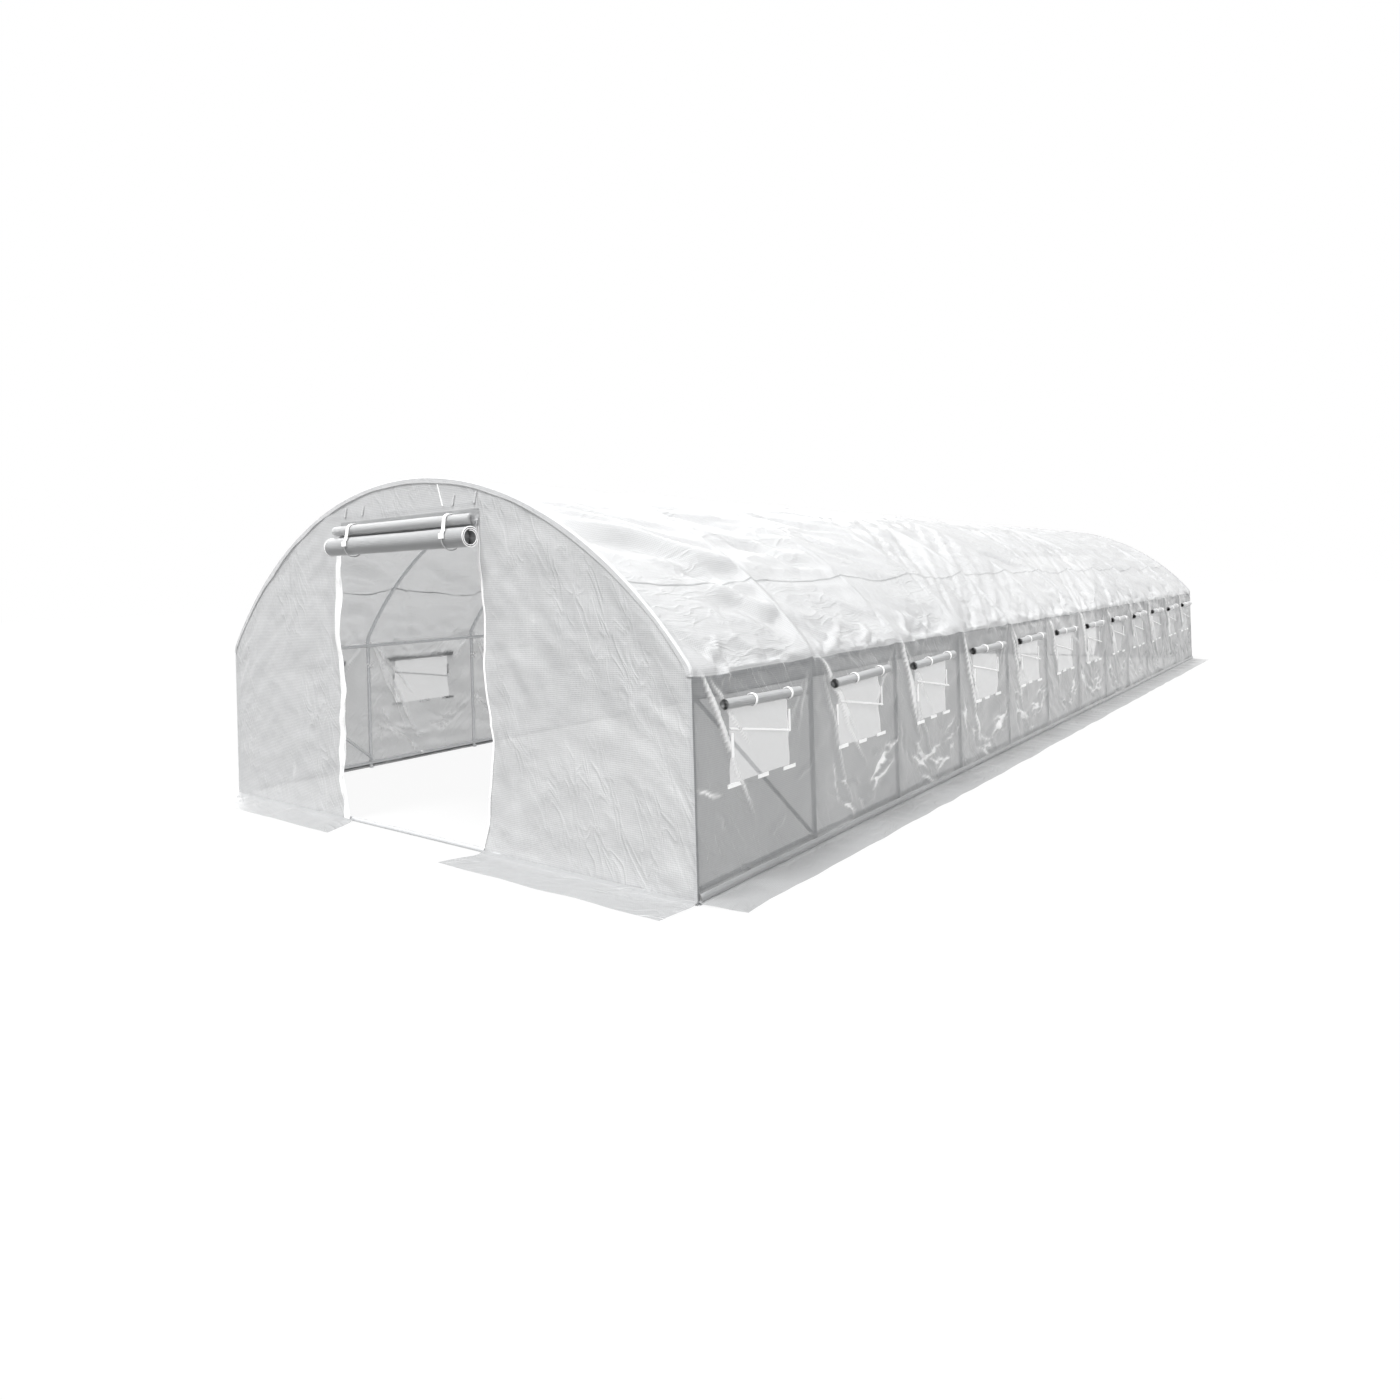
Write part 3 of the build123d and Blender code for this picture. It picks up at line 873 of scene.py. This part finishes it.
def gable_limits(across, z):
    """How far the gable's film may move: hardly in at the tubes, and not out behind the rolls."""
    low, high = np.full(z.shape, -GABLE_SAG), np.full(z.shape, GABLE_RISE)
    low[np.abs(z - centre_of("front_header_bar").z) < GABLE_TUBE_REACH] = -GABLE_TUBE_SAG
    for node in PURLINS:
        tube = centre_of(node)
        low[np.hypot(across - tube.x, z - tube.z) < GABLE_TUBE_REACH] = -GABLE_TUBE_SAG
    high[(z > BEHIND_ROLLS) & (np.abs(across) < DOOR_HALF + 0.06)] = 0.0
    return low, high


def make_gable(end, face, right_knots, left_knots):
    """One gable's film. face is -1 for the front and 1 for the back."""
    x, z, top, knee_row = gable_grid()
    across = x * np.ones(z.shape)
    in_doorway = np.abs((x[1:] + x[:-1]) / 2) < DOOR_HALF
    doorway = (np.arange(len(z) - 1) < knee_row)[:, None] & in_doorway
    shift = np.where(across > 0, drift(across, z, right_knots, DOOR_HALF),
                     drift(across, z, left_knots, -DOOR_HALF))
    shift *= np.abs(across) >= DOOR_HALF - 1e-6
    base = joined(across + shift * np.clip((HALF - np.abs(across)) / 0.2, 0, 1), face * GABLE_Y, z)
    outward = joined(np.zeros(z.shape), face, 0.0)
    loose = np.ones(z.shape)
    loose[[0, -1]] = 0
    loose[:, [0, -1]] = 0

    spacing = (GABLE_STEP, GABLE_STEP)
    upright = soft_noise(z.shape, spacing, (0.45, 0.07))
    broad = soft_noise(z.shape, spacing, (0.16, 0.16))
    small = soft_noise(z.shape, spacing, (0.06, 0.06))
    beside = np.exp(-np.abs(np.abs(across) - DOOR_HALF) / BESIDE_DOOR)
    folds, painted_highlight = gable_creases(np.linspace(0, RIDGE, len(z)), x)
    bump = 0.0025 * broad + 0.001 * small + beside * (0.007 * upright + 0.003 * small) + folds
    low, high = gable_limits(across, z)
    to_edge = np.minimum(HALF - np.abs(across), top - z)
    bump = np.clip(bump * np.clip(to_edge / 0.08, 0, 1) * loose, low, high)
    slack = 0.0008 + 0.006 * beside
    sheet = settle(base + bump[..., None] * outward, base, outward, loose, slack * 0.5, slack, low, high,
                   steps=25, weight=5e-5, smooth=0.03, cells=~doorway)

    # The gable's crease values paint highlights along its folds
    gable = sheet_object(f"gable_{end}", sheet, ~doorway, FILM_GABLE, joined(across + GABLE_UV, z),
                         np.clip(0.7 * painted_highlight, 0, 1))
    piece(gable, "film", f"{end}_gable_left_panel", f"{end}_gable_right_panel", f"{end}_gable_top_panel")
    left, right = np.abs(x + DOOR_HALF).argmin(), np.abs(x - DOOR_HALF).argmin()
    beside_door = sheet[:knee_row + 1]
    strips = {"left": beside_door[:, left - 2:left + 1][:, ::-1], "right": beside_door[:, right:right + 3]}
    return gable, strips


# The doorway's edges at the front: heights, and how far the film has drifted there
RIGHT_KNOTS = [(0.0, -0.06), (0.15, -0.01), (0.35, 0.02), (0.6, 0.05), (0.8, 0.015), (1.0, -0.005),
               (1.25, 0.0), (1.45, -0.02), (1.7, -0.02)]
LEFT_KNOTS = [(0.0, 0.03), (0.1, 0.0), (0.25, -0.035), (0.5, -0.02), (0.8, 0.01), (1.1, -0.03),
              (1.4, -0.01), (1.7, 0.0)]


def turned_round(knots):
    return [(z, -shift) for z, shift in knots]


gables = {
    "front": make_gable("front", -1, RIGHT_KNOTS, LEFT_KNOTS),
    "back": make_gable("back", 1, turned_round(LEFT_KNOTS), turned_round(RIGHT_KNOTS)),
}


# Trim of the gables: tape and a turned-back fold along the doorway, and a hem round the arch

TAPE_WIDTH, TAPE_THICK = 0.011, 0.003
FOLD_WIDTH = 0.05
FOLD_STEPS = 9
HEM_POINTS, HEM_WAVE = 240, 8
HEM_ACROSS = np.array([0, 0.012, 0.02, 0.048])


def door_edge_tape(end, face, strips):
    tape = Bits()
    for strip in strips.values():
        tape.strap(strip[1:, 0] + np.array([0, face * TAPE_THICK, 0]), TAPE_WIDTH, (1, 0, 0), TAPE_THICK)
    trim(tape, f"door_edge_tape_{end}")


def door_edge_fold(end, face, gable, strip):
    """Film folded back along one edge of the doorway."""
    shares = np.linspace(0, 2, FOLD_STEPS)
    low = np.minimum(shares.astype(int), 1)
    grid = strip[:, low] * (1 - shares + low)[:, None] + strip[:, low + 1] * (shares - low)[:, None]
    spacing = (0.02, 0.006)
    pleats = soft_noise(grid.shape[:2], spacing, (0.05, 0.02))
    grid[..., 1] += face * (0.005 + 0.0015 * np.clip(pleats, -2, 2))
    grid[..., 0] += 0.1 * (grid[:, :1, 0] - grid[..., 0]) * soft_noise(grid.shape[:2], spacing, (0.1, 0.1))
    edge = Bits()
    edge.grid(grid, uv=joined(FOLD_WIDTH / 2 * shares, grid[:, :1, 2]))
    obj = piece(edge.object(f"door_edge_fold_{end}", FILM_EDGE), "film")


def gable_hem(end, face, gable):
    """A doubled band of film round the end hoop, from the roof down over the gable's edge."""
    line = np.linspace(EAVE, 2 * HALF_LENGTH - EAVE, HEM_POINTS)
    ring = np.array([section(s, 0.003) for s in line])
    inner = np.array([section(s, -0.026) for s in line])
    knots = np.arange(0, HEM_POINTS, HEM_WAVE)
    wobble = np.interp(np.arange(HEM_POINTS), knots, rng.normal(0, 0.0035, len(knots)))
    inward = (inner - ring) / np.linalg.norm(inner - ring, axis=1)[:, None]
    low_edge = inner + inward * wobble[:, None]
    bands = ((ring, END - 0.012), (ring, GABLE_FACE - 0.004),
             (ring * 0.85 + inner * 0.15, GABLE_FACE + 0.003), (low_edge, GABLE_FACE + 0.003))
    hem = Bits()
    hem.grid(np.array([joined(band[:, 0], face * y, band[:, 1]) for band, y in bands]),
             uv=joined(line, HEM_ACROSS[:, None]))
    obj = piece(hem.object(f"hem_{end}", HEM), "film")


for end, face in ENDS:
    door_edge_tape(end, face, gables[end][1])
for end, face in ENDS:
    gable, strips = gables[end]
    door_edge_fold(end, face, gable, strips["left" if face < 0 else "right"])
for end, face in ENDS:
    gable_hem(end, face, gables[end][0])


# Skirts: film that lies on the ground round the foot of the cover

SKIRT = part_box("right_skirt")[1].x - HALF - FILM / 2
SKIRT_ROWS, SKIRT_STEP = 10, 0.03
SKIRT_LIFT, SKIRT_LOW, SKIRT_HIGH = 0.006, 0.0012, 0.022
EDGE_WAVE = 0.005
FOOT_RISE, FOOT_SHARE = 0.012, 0.12
SIDE_TAPER = (0.05, 0.05)
END_TAPER = (-0.09, 0.03)
END_SKIRT_X = 0.6


def make_skirt(name, first, last, out, taper, *stands_for):
    """A strip of film on the ground, between two points of the foot line and out from it."""
    a, b, out = (np.array(p, dtype=float) for p in (first, last, out))
    length, width = np.linalg.norm(b - a), np.linalg.norm(out)
    n, m = max(int(length / SKIRT_STEP), 8), SKIRT_ROWS
    t = np.linspace(0, 1, n)
    v = np.linspace(0, 1, m)[:, None]
    ends = (taper[0] * (1 - t) - taper[1] * t) / length
    waves = max(n // 6, 4)
    edge = np.interp(np.arange(n), np.linspace(0, n - 1, waves), rng.normal(0, EDGE_WAVE, waves))
    reach = v * (1 + edge / width * v)
    spot = a + (t[..., None] + (v * ends)[..., None]) * (b - a) + reach[..., None] * out
    spacing = (width / m, length / n)
    ripple = 0.0035 * soft_noise((m, n), spacing, (0.16, 0.07))
    ripple += 0.003 * soft_noise((m, n), spacing, (0.08, 0.2))
    lift = np.clip(SKIRT_LIFT + ripple * np.minimum(v * 5, 1), SKIRT_LOW, SKIRT_HIGH)
    lift = np.maximum(lift * np.minimum(1.2 - v, 1), SKIRT_LOW)
    spot[..., 2] = lift + FOOT_RISE * np.clip(1 - v / FOOT_SHARE, 0, 1)
    uv = joined(t * length, v * width)
    obj = mesh_object(name, spot.reshape(-1, 3), grid_faces(m, n), FILM_SKIRT, uv.reshape(-1, 2))
    piece(obj, "film", *stands_for)


for side, sign in SIDES:
    foot = sign * (HALF + FILM / 2)
    make_skirt(f"skirt_{side}", (foot, -END, 0), (foot, END, 0), (sign * SKIRT, 0, 0), SIDE_TAPER,
               f"{side}_skirt")
for end, face in ENDS:
    foot = face * GABLE_FACE
    for side, sign in SIDES:
        stands_for = (f"{end}_skirts",) if side == "right" else ()
        make_skirt(f"skirt_{end}_{side}", (sign * END_SKIRT_X, foot, 0), (sign * HALF, foot, 0),
                   (0, face * SKIRT, 0), END_TAPER, *stands_for)


# The frame's tubes, round, with their sleeves, bolts and feet

SLEEVE, RAIL_SLEEVE = 0.0014, 0.0012
LEG_SLEEVE = (-0.045, 0.002)
BOLT_DROPS = (0.03, 0.012)
BOLT_R, BOLT_HEAD, BOLT_SINK = 0.0045, 0.006, 0.002
FOOT_PLATE, FOOT_Z = (0.045, 0.026, 0.003), 0.002
RAIL_JOINT = (0.2, 0.26)


def hoop_path(sign, y):
    path = [(LEG_X, LEG_TOP * i / 4) for i in range(4)]
    path += [section(s, -HOOP_DROP) for s in np.linspace(LEG_TOP, EAVE, 4)]
    path += [section(s, -HOOP_DROP) for s in np.linspace(EAVE, EAVE + BEND_LENGTH, 8)[1:]]
    path += [section(s, -HOOP_DROP) for s in np.linspace(EAVE + BEND_LENGTH, HALF_LENGTH, 40)[1:]]
    return [(sign * x, y, z) for x, z in path]


def make_hoops(side, sign):
    hoops, joints = Bits(), Bits()
    for y in HOOPS:
        path = hoop_path(sign, y)
        hoops.tube(path, TUBE, 16)
        joints.tube([(sign * LEG_X, y, LEG_TOP + up) for up in LEG_SLEEVE], TUBE + SLEEVE, 16)
        for drop in BOLT_DROPS:
            bolt = (LEG_X - TUBE - BOLT_HEAD, LEG_X - TUBE + BOLT_SINK)
            joints.tube([(sign * x, y, LEG_TOP - drop) for x in bolt], BOLT_R, 6)
        joints.block((sign * LEG_X, y, FOOT_Z), FOOT_PLATE)
        joints.tube(path[-4:], TUBE + SLEEVE, 16)
    steel(hoops, f"hoops_{side}", f"{side}_legs", f"{side}_arches")
    steel(joints, f"hoop_joints_{side}")


def make_rail(node):
    """A tube along the tunnel, with sleeves where its lengths join."""
    rail, c = Bits(), centre_of(node)
    lo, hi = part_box(node)
    rail.tube([(c.x, y, c.z) for y in np.linspace(lo.y, hi.y, 13)], TUBE, 14)
    for hoop in HOOPS[1:-1:2]:
        rail.tube([(c.x, hoop + off, c.z) for off in RAIL_JOINT], TUBE + RAIL_SLEEVE, 14)
    steel(rail, f"{node}_tube", node)


def make_bar(node):
    """A tube across a gable."""
    bar, c = Bits(), centre_of(node)
    lo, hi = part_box(node)
    bar.tube([(x, c.y, c.z) for x in np.linspace(lo.x, hi.x, 9)], TUBE, 14)
    steel(bar, f"{node}_tube", node)


def make_braces(side):
    """Slanting tubes in the corner bays, between the middles of their solids' ends."""
    braces, marks = Bits(), points_of(f"{side}_braces")
    end_depth = 0.02
    for face in (-1, 1):
        mine = marks[marks[:, 1] * face > 0]
        low_end = mine[mine[:, 2] < mine[:, 2].min() + end_depth].mean(axis=0)
        high_end = mine[mine[:, 2] > mine[:, 2].max() - end_depth].mean(axis=0)
        braces.tube([low_end, (low_end + high_end) / 2, high_end], (mine[:, 0].max() - mine[:, 0].min()) / 2)
    steel(braces, f"braces_{side}_tubes", f"{side}_braces")


for side, sign in SIDES:
    make_hoops(side, sign)
for node in ("right_eave_rail", "left_eave_rail", "right_base_rail", "left_base_rail", *PURLINS):
    make_rail(node)
for end, face in ENDS:
    make_bar(f"{end}_threshold_rail")
    make_bar(f"{end}_header_bar")
for side, sign in SIDES:
    make_braces(side)


# Rolled film: a spiral drawn out along a line, with its ends showing the turns

def spiral(centre, core, radius, turns, first, way, count, looser=1.0):
    """Points of a spiral from its core out to its radius, as seen along the roll."""
    angle = np.linspace(0, turns * 2 * math.pi, count)
    size = core + (radius - core) * (angle / angle[-1]) ** looser
    heading = first + way * angle
    return np.stack([centre[0] + size * np.cos(heading), centre[1] + size * np.sin(heading)], axis=-1)


def rolled_sheet(bits, profile, place, columns, wobble):
    """Draws a spiral out along a line and gives its length. place turns (along, u, v) into a point."""
    lengths = np.concatenate([[0], np.cumsum(np.linalg.norm(np.diff(profile, axis=0), axis=1))])
    mean = profile[:-len(profile) // 8].mean(axis=0)
    grid = []
    for t, swell in zip(columns, wobble):
        grid.append([place(t, u, v) for u, v in (profile - mean) * (1 + swell) + mean])
    bits.grid(np.array(grid), uv=joined(columns[:, None], lengths))
    return lengths[-1]


# Over each doorway: the rolled-up door with its white edges, the rolled-up screen, straps and cords

door_lo, door_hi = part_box("front_door_roll")
screen_roll_lo, screen_roll_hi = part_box("front_screen_roll")
ROLL_COLUMNS = 44
ROLL_R = (door_hi.y - door_lo.y) / 2
SCREEN_R = (screen_roll_hi.y - screen_roll_lo.y) / 2
ROLL_HALF = 0.955 * door_hi.x
SCREEN_INSET = 0.01
ROLL_Z = door_lo.z + ROLL_R
SCREEN_Z = screen_roll_lo.z + SCREEN_R
ROLL_OUT = GABLE_FACE + 0.0005 + ROLL_R
SCREEN_OUT = GABLE_FACE + 0.0065 + SCREEN_R
TAIL_TOP = door_hi.z
ROLL_SLACK = 0.004
TRIM_OUT = GABLE_FACE + 0.002
TIE_WIDTH = 0.025
TIE_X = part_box("front_door_ties")[1].x - TIE_WIDTH / 2
TIE_SLANT = 0.03
BUCKLE = (0.034, 0.01, 0.028)
HANGER_X = (-0.6, -0.42, 0.42, 0.6)
GABLE_SEAM_X = 0.3


def roll_wobble(size):
    """How much a roll swells at each of its columns."""
    knots = np.arange(0, ROLL_COLUMNS, 4)
    return size * np.interp(np.arange(ROLL_COLUMNS), knots, rng.normal(0, 1, len(knots)))


def door_roll(end, place):
    columns = np.linspace(-ROLL_HALF, ROLL_HALF, ROLL_COLUMNS)
    wobble = roll_wobble(0.02)
    profile = spiral((ROLL_OUT, ROLL_Z), core=0.008, radius=ROLL_R - ROLL_SLACK, turns=6.95,
                     first=math.pi * 0.8, way=1, count=260, looser=1.5)
    door = Bits()
    length = rolled_sheet(door, profile, place, columns, wobble)
    last = profile[-1]
    rows = np.linspace(0, 1, 9)
    tail = [[place(t, last[0] + (TRIM_OUT - last[0]) * min(v * 1.6, 1), last[1] + (TAIL_TOP - last[1]) * v)
             for v in rows] for t in columns]
    door.grid(np.array(tail), uv=joined(columns[:, None], length + rows * 0.15))
    obj = piece(door.object(f"door_roll_{end}", FILM_ROLLED), "film", f"{end}_door_roll")
    rim = Bits()
    for x in (-ROLL_HALF, ROLL_HALF):
        rim.tube([place(x, u, v) for u, v in profile[-80:]], 0.0028, 6)
    trim(rim, f"door_roll_edges_{end}")


def screen_roll(end, place):
    wobble = roll_wobble(0.03)
    profile = spiral((SCREEN_OUT, SCREEN_Z), core=0.009, radius=SCREEN_R - ROLL_SLACK, turns=4.0,
                     first=math.pi * 0.6, way=1, count=80)
    half = ROLL_HALF - SCREEN_INSET
    screen = Bits()
    length = rolled_sheet(screen, profile, place, np.linspace(-half, half, ROLL_COLUMNS), wobble)
    obj = piece(screen.object(f"screen_roll_{end}", MESH), "insect_mesh", f"{end}_screen_roll")


def door_straps(end, face, place):
    """Straps over the screen roll, cords under the door roll, tie ends above and a seam by the ridge."""
    def arc(x, out, up, radius, degrees):
        return [place(x, out + radius * math.cos(a), up + radius * math.sin(a)) for a in np.radians(degrees)]

    straps, cords = Bits(), Bits()
    for x in (-TIE_X, TIE_X):
        low_x = x - TIE_SLANT * face
        over = arc(x, SCREEN_OUT, SCREEN_Z, SCREEN_R + 0.003, np.linspace(150, 0, 14))
        front = arc(low_x, ROLL_OUT, ROLL_Z, ROLL_R + 0.003, np.linspace(40, 12, 5))
        under = arc(low_x, ROLL_OUT, ROLL_Z, ROLL_R + 0.001, np.linspace(14, -175, 26))
        straps.strap(over + front, 0.026, (1, 0, 0), 0.0028)
        straps.block(front[-1], BUCKLE)
        cords.tube(under, 0.003, 6)
    trim(straps, f"door_straps_{end}", stands_for=(f"{end}_door_ties",))
    for x in HANGER_X:
        hanger = [place(x + 0.02 * t, TRIM_OUT, TAIL_TOP + 0.03 + 0.06 * t) for t in np.linspace(0, 1, 5)]
        cords.strap(hanger, 0.016, (1, 0, 0))
    trim(cords, f"door_cords_{end}", HEM)
    seam, seam_top = Bits(), roof_height(GABLE_SEAM_X) - 0.035
    seam.strap([place(GABLE_SEAM_X + 0.04 * t, TRIM_OUT, seam_top - 0.12 * t) for t in np.linspace(0, 1, 6)],
               0.007, (1, 0, 0))
    trim(seam, f"gable_seam_{end}")


def make_rolls(end, face):
    def place(x, out, up):
        return x, face * out, up

    door_roll(end, place)
    screen_roll(end, place)
    door_straps(end, face, place)


for end, face in ENDS:
    make_rolls(end, face)


# The foot of each wall: a doubled hem over the base rail's line

FOOT_HEM_R, FOOT_HEM_Z, FOOT_HEM_OUT = 0.012, 0.03, 0.003
FOOT_HEM_POINTS, FOOT_HEM_ROUND = 480, 7
FOOT_HEM_TURN = 1.4


def foot_hem(side, sign):
    y_line = np.linspace(-END + 0.01, END - 0.01, FOOT_HEM_POINTS)[:, None]
    turns = np.linspace(-FOOT_HEM_TURN, FOOT_HEM_TURN, FOOT_HEM_ROUND)
    bunched = soft_noise((FOOT_HEM_POINTS, FOOT_HEM_ROUND), (0.025, 0.01), (0.05, 0.05))
    radius = FOOT_HEM_R * (1 + 0.07 * np.clip(bunched, -2, 2))
    grid = joined(sign * (HALF + FOOT_HEM_OUT + radius * np.cos(turns)), y_line,
                  FOOT_HEM_Z + 1.5 * radius * np.sin(turns))
    foot = Bits()
    foot.grid(grid, uv=joined(y_line, FOOT_HEM_R * turns))
    obj = piece(foot.object(f"foot_hem_{side}", FILM_SEAM), "film")


for side, sign in SIDES:
    foot_hem(side, sign)


# Knotted cords on the legs, and clips on the base rails

KNOT_Z, KNOT_CORD_R, KNOT_GAP = 0.8, 0.004, 0.003
KNOT_ENDS = ((-0.028, 0.008), (0.03, 0.014), (-0.02, -0.02), (0.016, -0.024))
CLIP_HALF, CLIP_GRIP = 0.011, (0.014, 0.022, 0.016)


def knots_and_clips(side, sign):
    knots, rail = Bits(), centre_of(f"{side}_base_rail")
    ring_r = TUBE + KNOT_GAP
    x = sign * (LEG_X - TUBE - 0.006)
    for y in HOOPS[1:-1]:
        knots.tube([(sign * (LEG_X - ring_r * math.cos(a)), y + ring_r * math.sin(a), KNOT_Z)
                    for a in np.linspace(-math.pi / 2, math.pi / 2, 11)], KNOT_CORD_R, 6)
        for reach, drop in KNOT_ENDS:
            knots.tube([(x, y, KNOT_Z), (x - sign * 0.006, y + reach / 2, KNOT_Z + drop * 0.8),
                        (x - sign * 0.004, y + reach, KNOT_Z + drop)], 0.0042, 6)
    for bay in range(BAYS):
        y = HOOPS[bay] + BAY * (0.5 + rng.normal(0, 0.04))
        knots.tube([(rail.x, y + off, rail.z) for off in (-CLIP_HALF, CLIP_HALF)], TUBE + KNOT_GAP, 14)
        knots.block((rail.x - sign * (TUBE + 0.006), y, rail.z), CLIP_GRIP)
    trim(knots, f"knots_and_clips_{side}")


for side, sign in SIDES:
    knots_and_clips(side, sign)


# Window flaps rolled up over each window, with their ties, cords and tabs

flap_lo, flap_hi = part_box("right_window_rolls")
FLAP_R = (flap_hi.x - flap_lo.x) / 2
FLAP_X = flap_lo.x + FLAP_R + 0.002
FLAP_HALF = HOOPS[0] + BAY / 2 - flap_lo.y
FLAP_Z = (flap_lo.z + flap_hi.z) / 2
FLAP_COLUMNS = 12
FLAP_TIES = (-0.1, 0.21)
FLAP_TIE_R = FLAP_R + 0.004
CORD_DROP, CORD_FALL = 0.112, 0.08
TAB_OUT, TAB_THICK, TAB_WIDTH = 0.001, 0.006, 0.018
SIDE_TAB = (0.014, 0.11)


def window_flap(flaps, ties, sign, middle):
    """One window's rolled flap, a little tilted, with its two ties. Gives the flap's unrolled length."""
    tilt = rng.normal(0, 0.006)

    def place(t, u, v):
        return sign * u, middle + t, FLAP_Z + v + tilt * t / FLAP_HALF

    wobble = 0.015 * rng.normal(0, 1, FLAP_COLUMNS)
    profile = spiral((FLAP_X, 0.0), core=0.009, radius=FLAP_R + 0.002, turns=4.0, first=math.pi * 0.9,
                     way=-1, count=90)
    length = rolled_sheet(flaps, profile, place, np.linspace(-FLAP_HALF, FLAP_HALF, FLAP_COLUMNS), wobble)
    for share in FLAP_TIES:
        loop = [place(share * BAY, FLAP_X + FLAP_TIE_R * math.cos(a), FLAP_TIE_R * math.sin(a))
                for a in np.radians(np.linspace(160, -160, 18))]
        ties.strap(loop, 0.014, (0, 1, 0), 0.003)
    return length


def window_cord(cords, sign, left, right):
    """A flat cord that slants across one window."""
    path = [(y, WIN_HIGH - CORD_DROP - CORD_FALL * i / 8) for i, y in enumerate(np.linspace(left, right, 9))]
    out = max(film_at(sign, y, z) for y, z in path) + 0.004
    cords.strap([(sign * out, y, z) for y, z in path], 0.011, (-0.5 * sign, 0, 0.85))


def window_tabs(tabs, sign, left, middle, right):
    """Tabs along the foot and the sides of one window."""
    for y, wide in ((left + 0.03, 0.1), (middle + 0.02, 0.09), (right, 0.11)):
        z = WIN_LOW - 0.012 + rng.normal(0, 0.004)
        out = max(film_at(sign, y + d * wide, z) for d in (-0.5, -0.25, 0, 0.25, 0.5))
        tabs.block((sign * (out + TAB_OUT), y, z), (TAB_THICK, wide, TAB_WIDTH))
    for y, z in ((left - 0.006, WIN_LOW + 0.17), (right + 0.008, WIN_LOW + 0.21)):
        out = max(film_at(sign, y, z + d) for d in (-0.05, -0.02, 0.02, 0.05))
        tabs.block((sign * (out + TAB_OUT), y, z), (TAB_THICK, *SIDE_TAB))


def make_windows(side, sign):
    flaps, ties, tabs, cords = Bits(), Bits(), Bits(), Bits()
    for middle in MIDDLES:
        length = window_flap(flaps, ties, sign, middle)
        window_cord(cords, sign, middle - WIN_HALF, middle + WIN_HALF)
        window_tabs(tabs, sign, middle - WIN_HALF, middle, middle + WIN_HALF)
    obj = piece(flaps.object(f"window_flaps_{side}", FILM_FLAP), "film", f"{side}_window_rolls")
    trim(ties, f"window_ties_{side}")
    trim(tabs, f"window_tabs_{side}")
    trim(cords, f"window_cords_{side}")


for side, sign in SIDES:
    make_windows(side, sign)


# Camera, as the photo was taken

EYE = Vector((4.393, -9.078, 1.394))
YAW, PITCH, ROLL = math.radians(37.26), math.radians(-0.31), math.radians(-1.67)
PHOTO_PIXELS, FOCAL_PIXELS = 1400, 910.4
SENSOR = 36
SHIFT_UP = -0.09

scene = bpy.context.scene
ahead = Vector((-math.sin(YAW) * math.cos(PITCH), math.cos(YAW) * math.cos(PITCH), -math.sin(PITCH)))
level = Vector((math.cos(YAW), math.sin(YAW), 0))
upright = level.cross(ahead)
right = math.cos(ROLL) * level + math.sin(ROLL) * upright
up = -math.sin(ROLL) * level + math.cos(ROLL) * upright
camera_data = bpy.data.cameras.new("camera")
camera_data.sensor_width = SENSOR
camera_data.lens = FOCAL_PIXELS / PHOTO_PIXELS * SENSOR
camera_data.shift_y = SHIFT_UP
camera = bpy.data.objects.new("camera", camera_data)
camera.matrix_world = Matrix(((*right, 0), (*up, 0), (*-ahead, 0), (*EYE, 1))).transposed()
scene.collection.objects.link(camera)
scene.camera = camera


# Light: a soft white sky with three far lamps, over a white floor

SKY = 0.36
FLOOR_HALF = 60
FLOOR_GREY = 0.24
FLOOR_GLOW, FLOOR_GLOW_SHARE = 1.12, 0.82


def seen_by(tree, *rays):
    """One for rays of these kinds, and zero for others."""
    path = add_node(tree, "LightPath")
    seen = path.outputs[f"Is {rays[0]} Ray"]
    for ray in rays[1:]:
        seen = math_node(tree, "MAXIMUM", seen, path.outputs[f"Is {ray} Ray"])
    return seen


def make_sky():
    """White where it is seen or mirrored, and dimmer as a light."""
    world = bpy.data.worlds.new("sky")
    scene.world = world
    world.use_nodes = True
    tree = world.node_tree
    tree.nodes.clear()
    seen = seen_by(tree, "Camera", "Transmission", "Glossy")
    strength = math_node(tree, "ADD", math_node(tree, "MULTIPLY", seen, 1 - SKY), SKY)
    background = add_node(tree, "Background", {"Color": (1, 1, 1, 1), "Strength": strength}).outputs[0]
    add_node(tree, "OutputWorld", {"Surface": background})


def add_sun(name, towards, energy, spread):
    """A far lamp that shines in a direction. Its spread, in degrees, makes its shadows soft."""
    data = bpy.data.lights.new(name, "SUN")
    data.energy = energy
    data.angle = math.radians(spread)
    lamp = bpy.data.objects.new(name, data)
    lamp.rotation_euler = Vector(towards).to_track_quat("-Z", "Y").to_euler()
    scene.collection.objects.link(lamp)


def make_floor():
    """A floor that takes shadows but looks as white as the sky."""
    material, tree = node_tree("floor")
    lit = add_node(tree, "BsdfDiffuse", {"Color": (FLOOR_GREY, FLOOR_GREY, FLOOR_GREY, 1)}).outputs[0]
    glow = add_node(tree, "Emission", {"Color": (1, 1, 1, 1), "Strength": FLOOR_GLOW}).outputs[0]
    share = math_node(tree, "MULTIPLY", seen_by(tree, "Camera", "Glossy"), FLOOR_GLOW_SHARE)
    add_node(tree, "OutputMaterial", {"Surface": mix_shaders(tree, share, lit, glow)})
    corners = [(x * FLOOR_HALF, y * FLOOR_HALF, 0) for x, y in ((-1, -1), (1, -1), (1, 1), (-1, 1))]
    return mesh_object("floor", corners, [(0, 1, 2, 3)], material)


make_sky()
add_sun("key", (0.06, 0.39, -0.919), energy=5.0, spread=22)
add_sun("right_fill", (-0.85, 0.35, -0.4), energy=2.0, spread=60)
add_sun("left_fill", (0.7, -0.5, -0.5), energy=1.4, spread=60)
make_floor()
scene.view_settings.view_transform = "Standard"

bpy.context.view_layer.update()
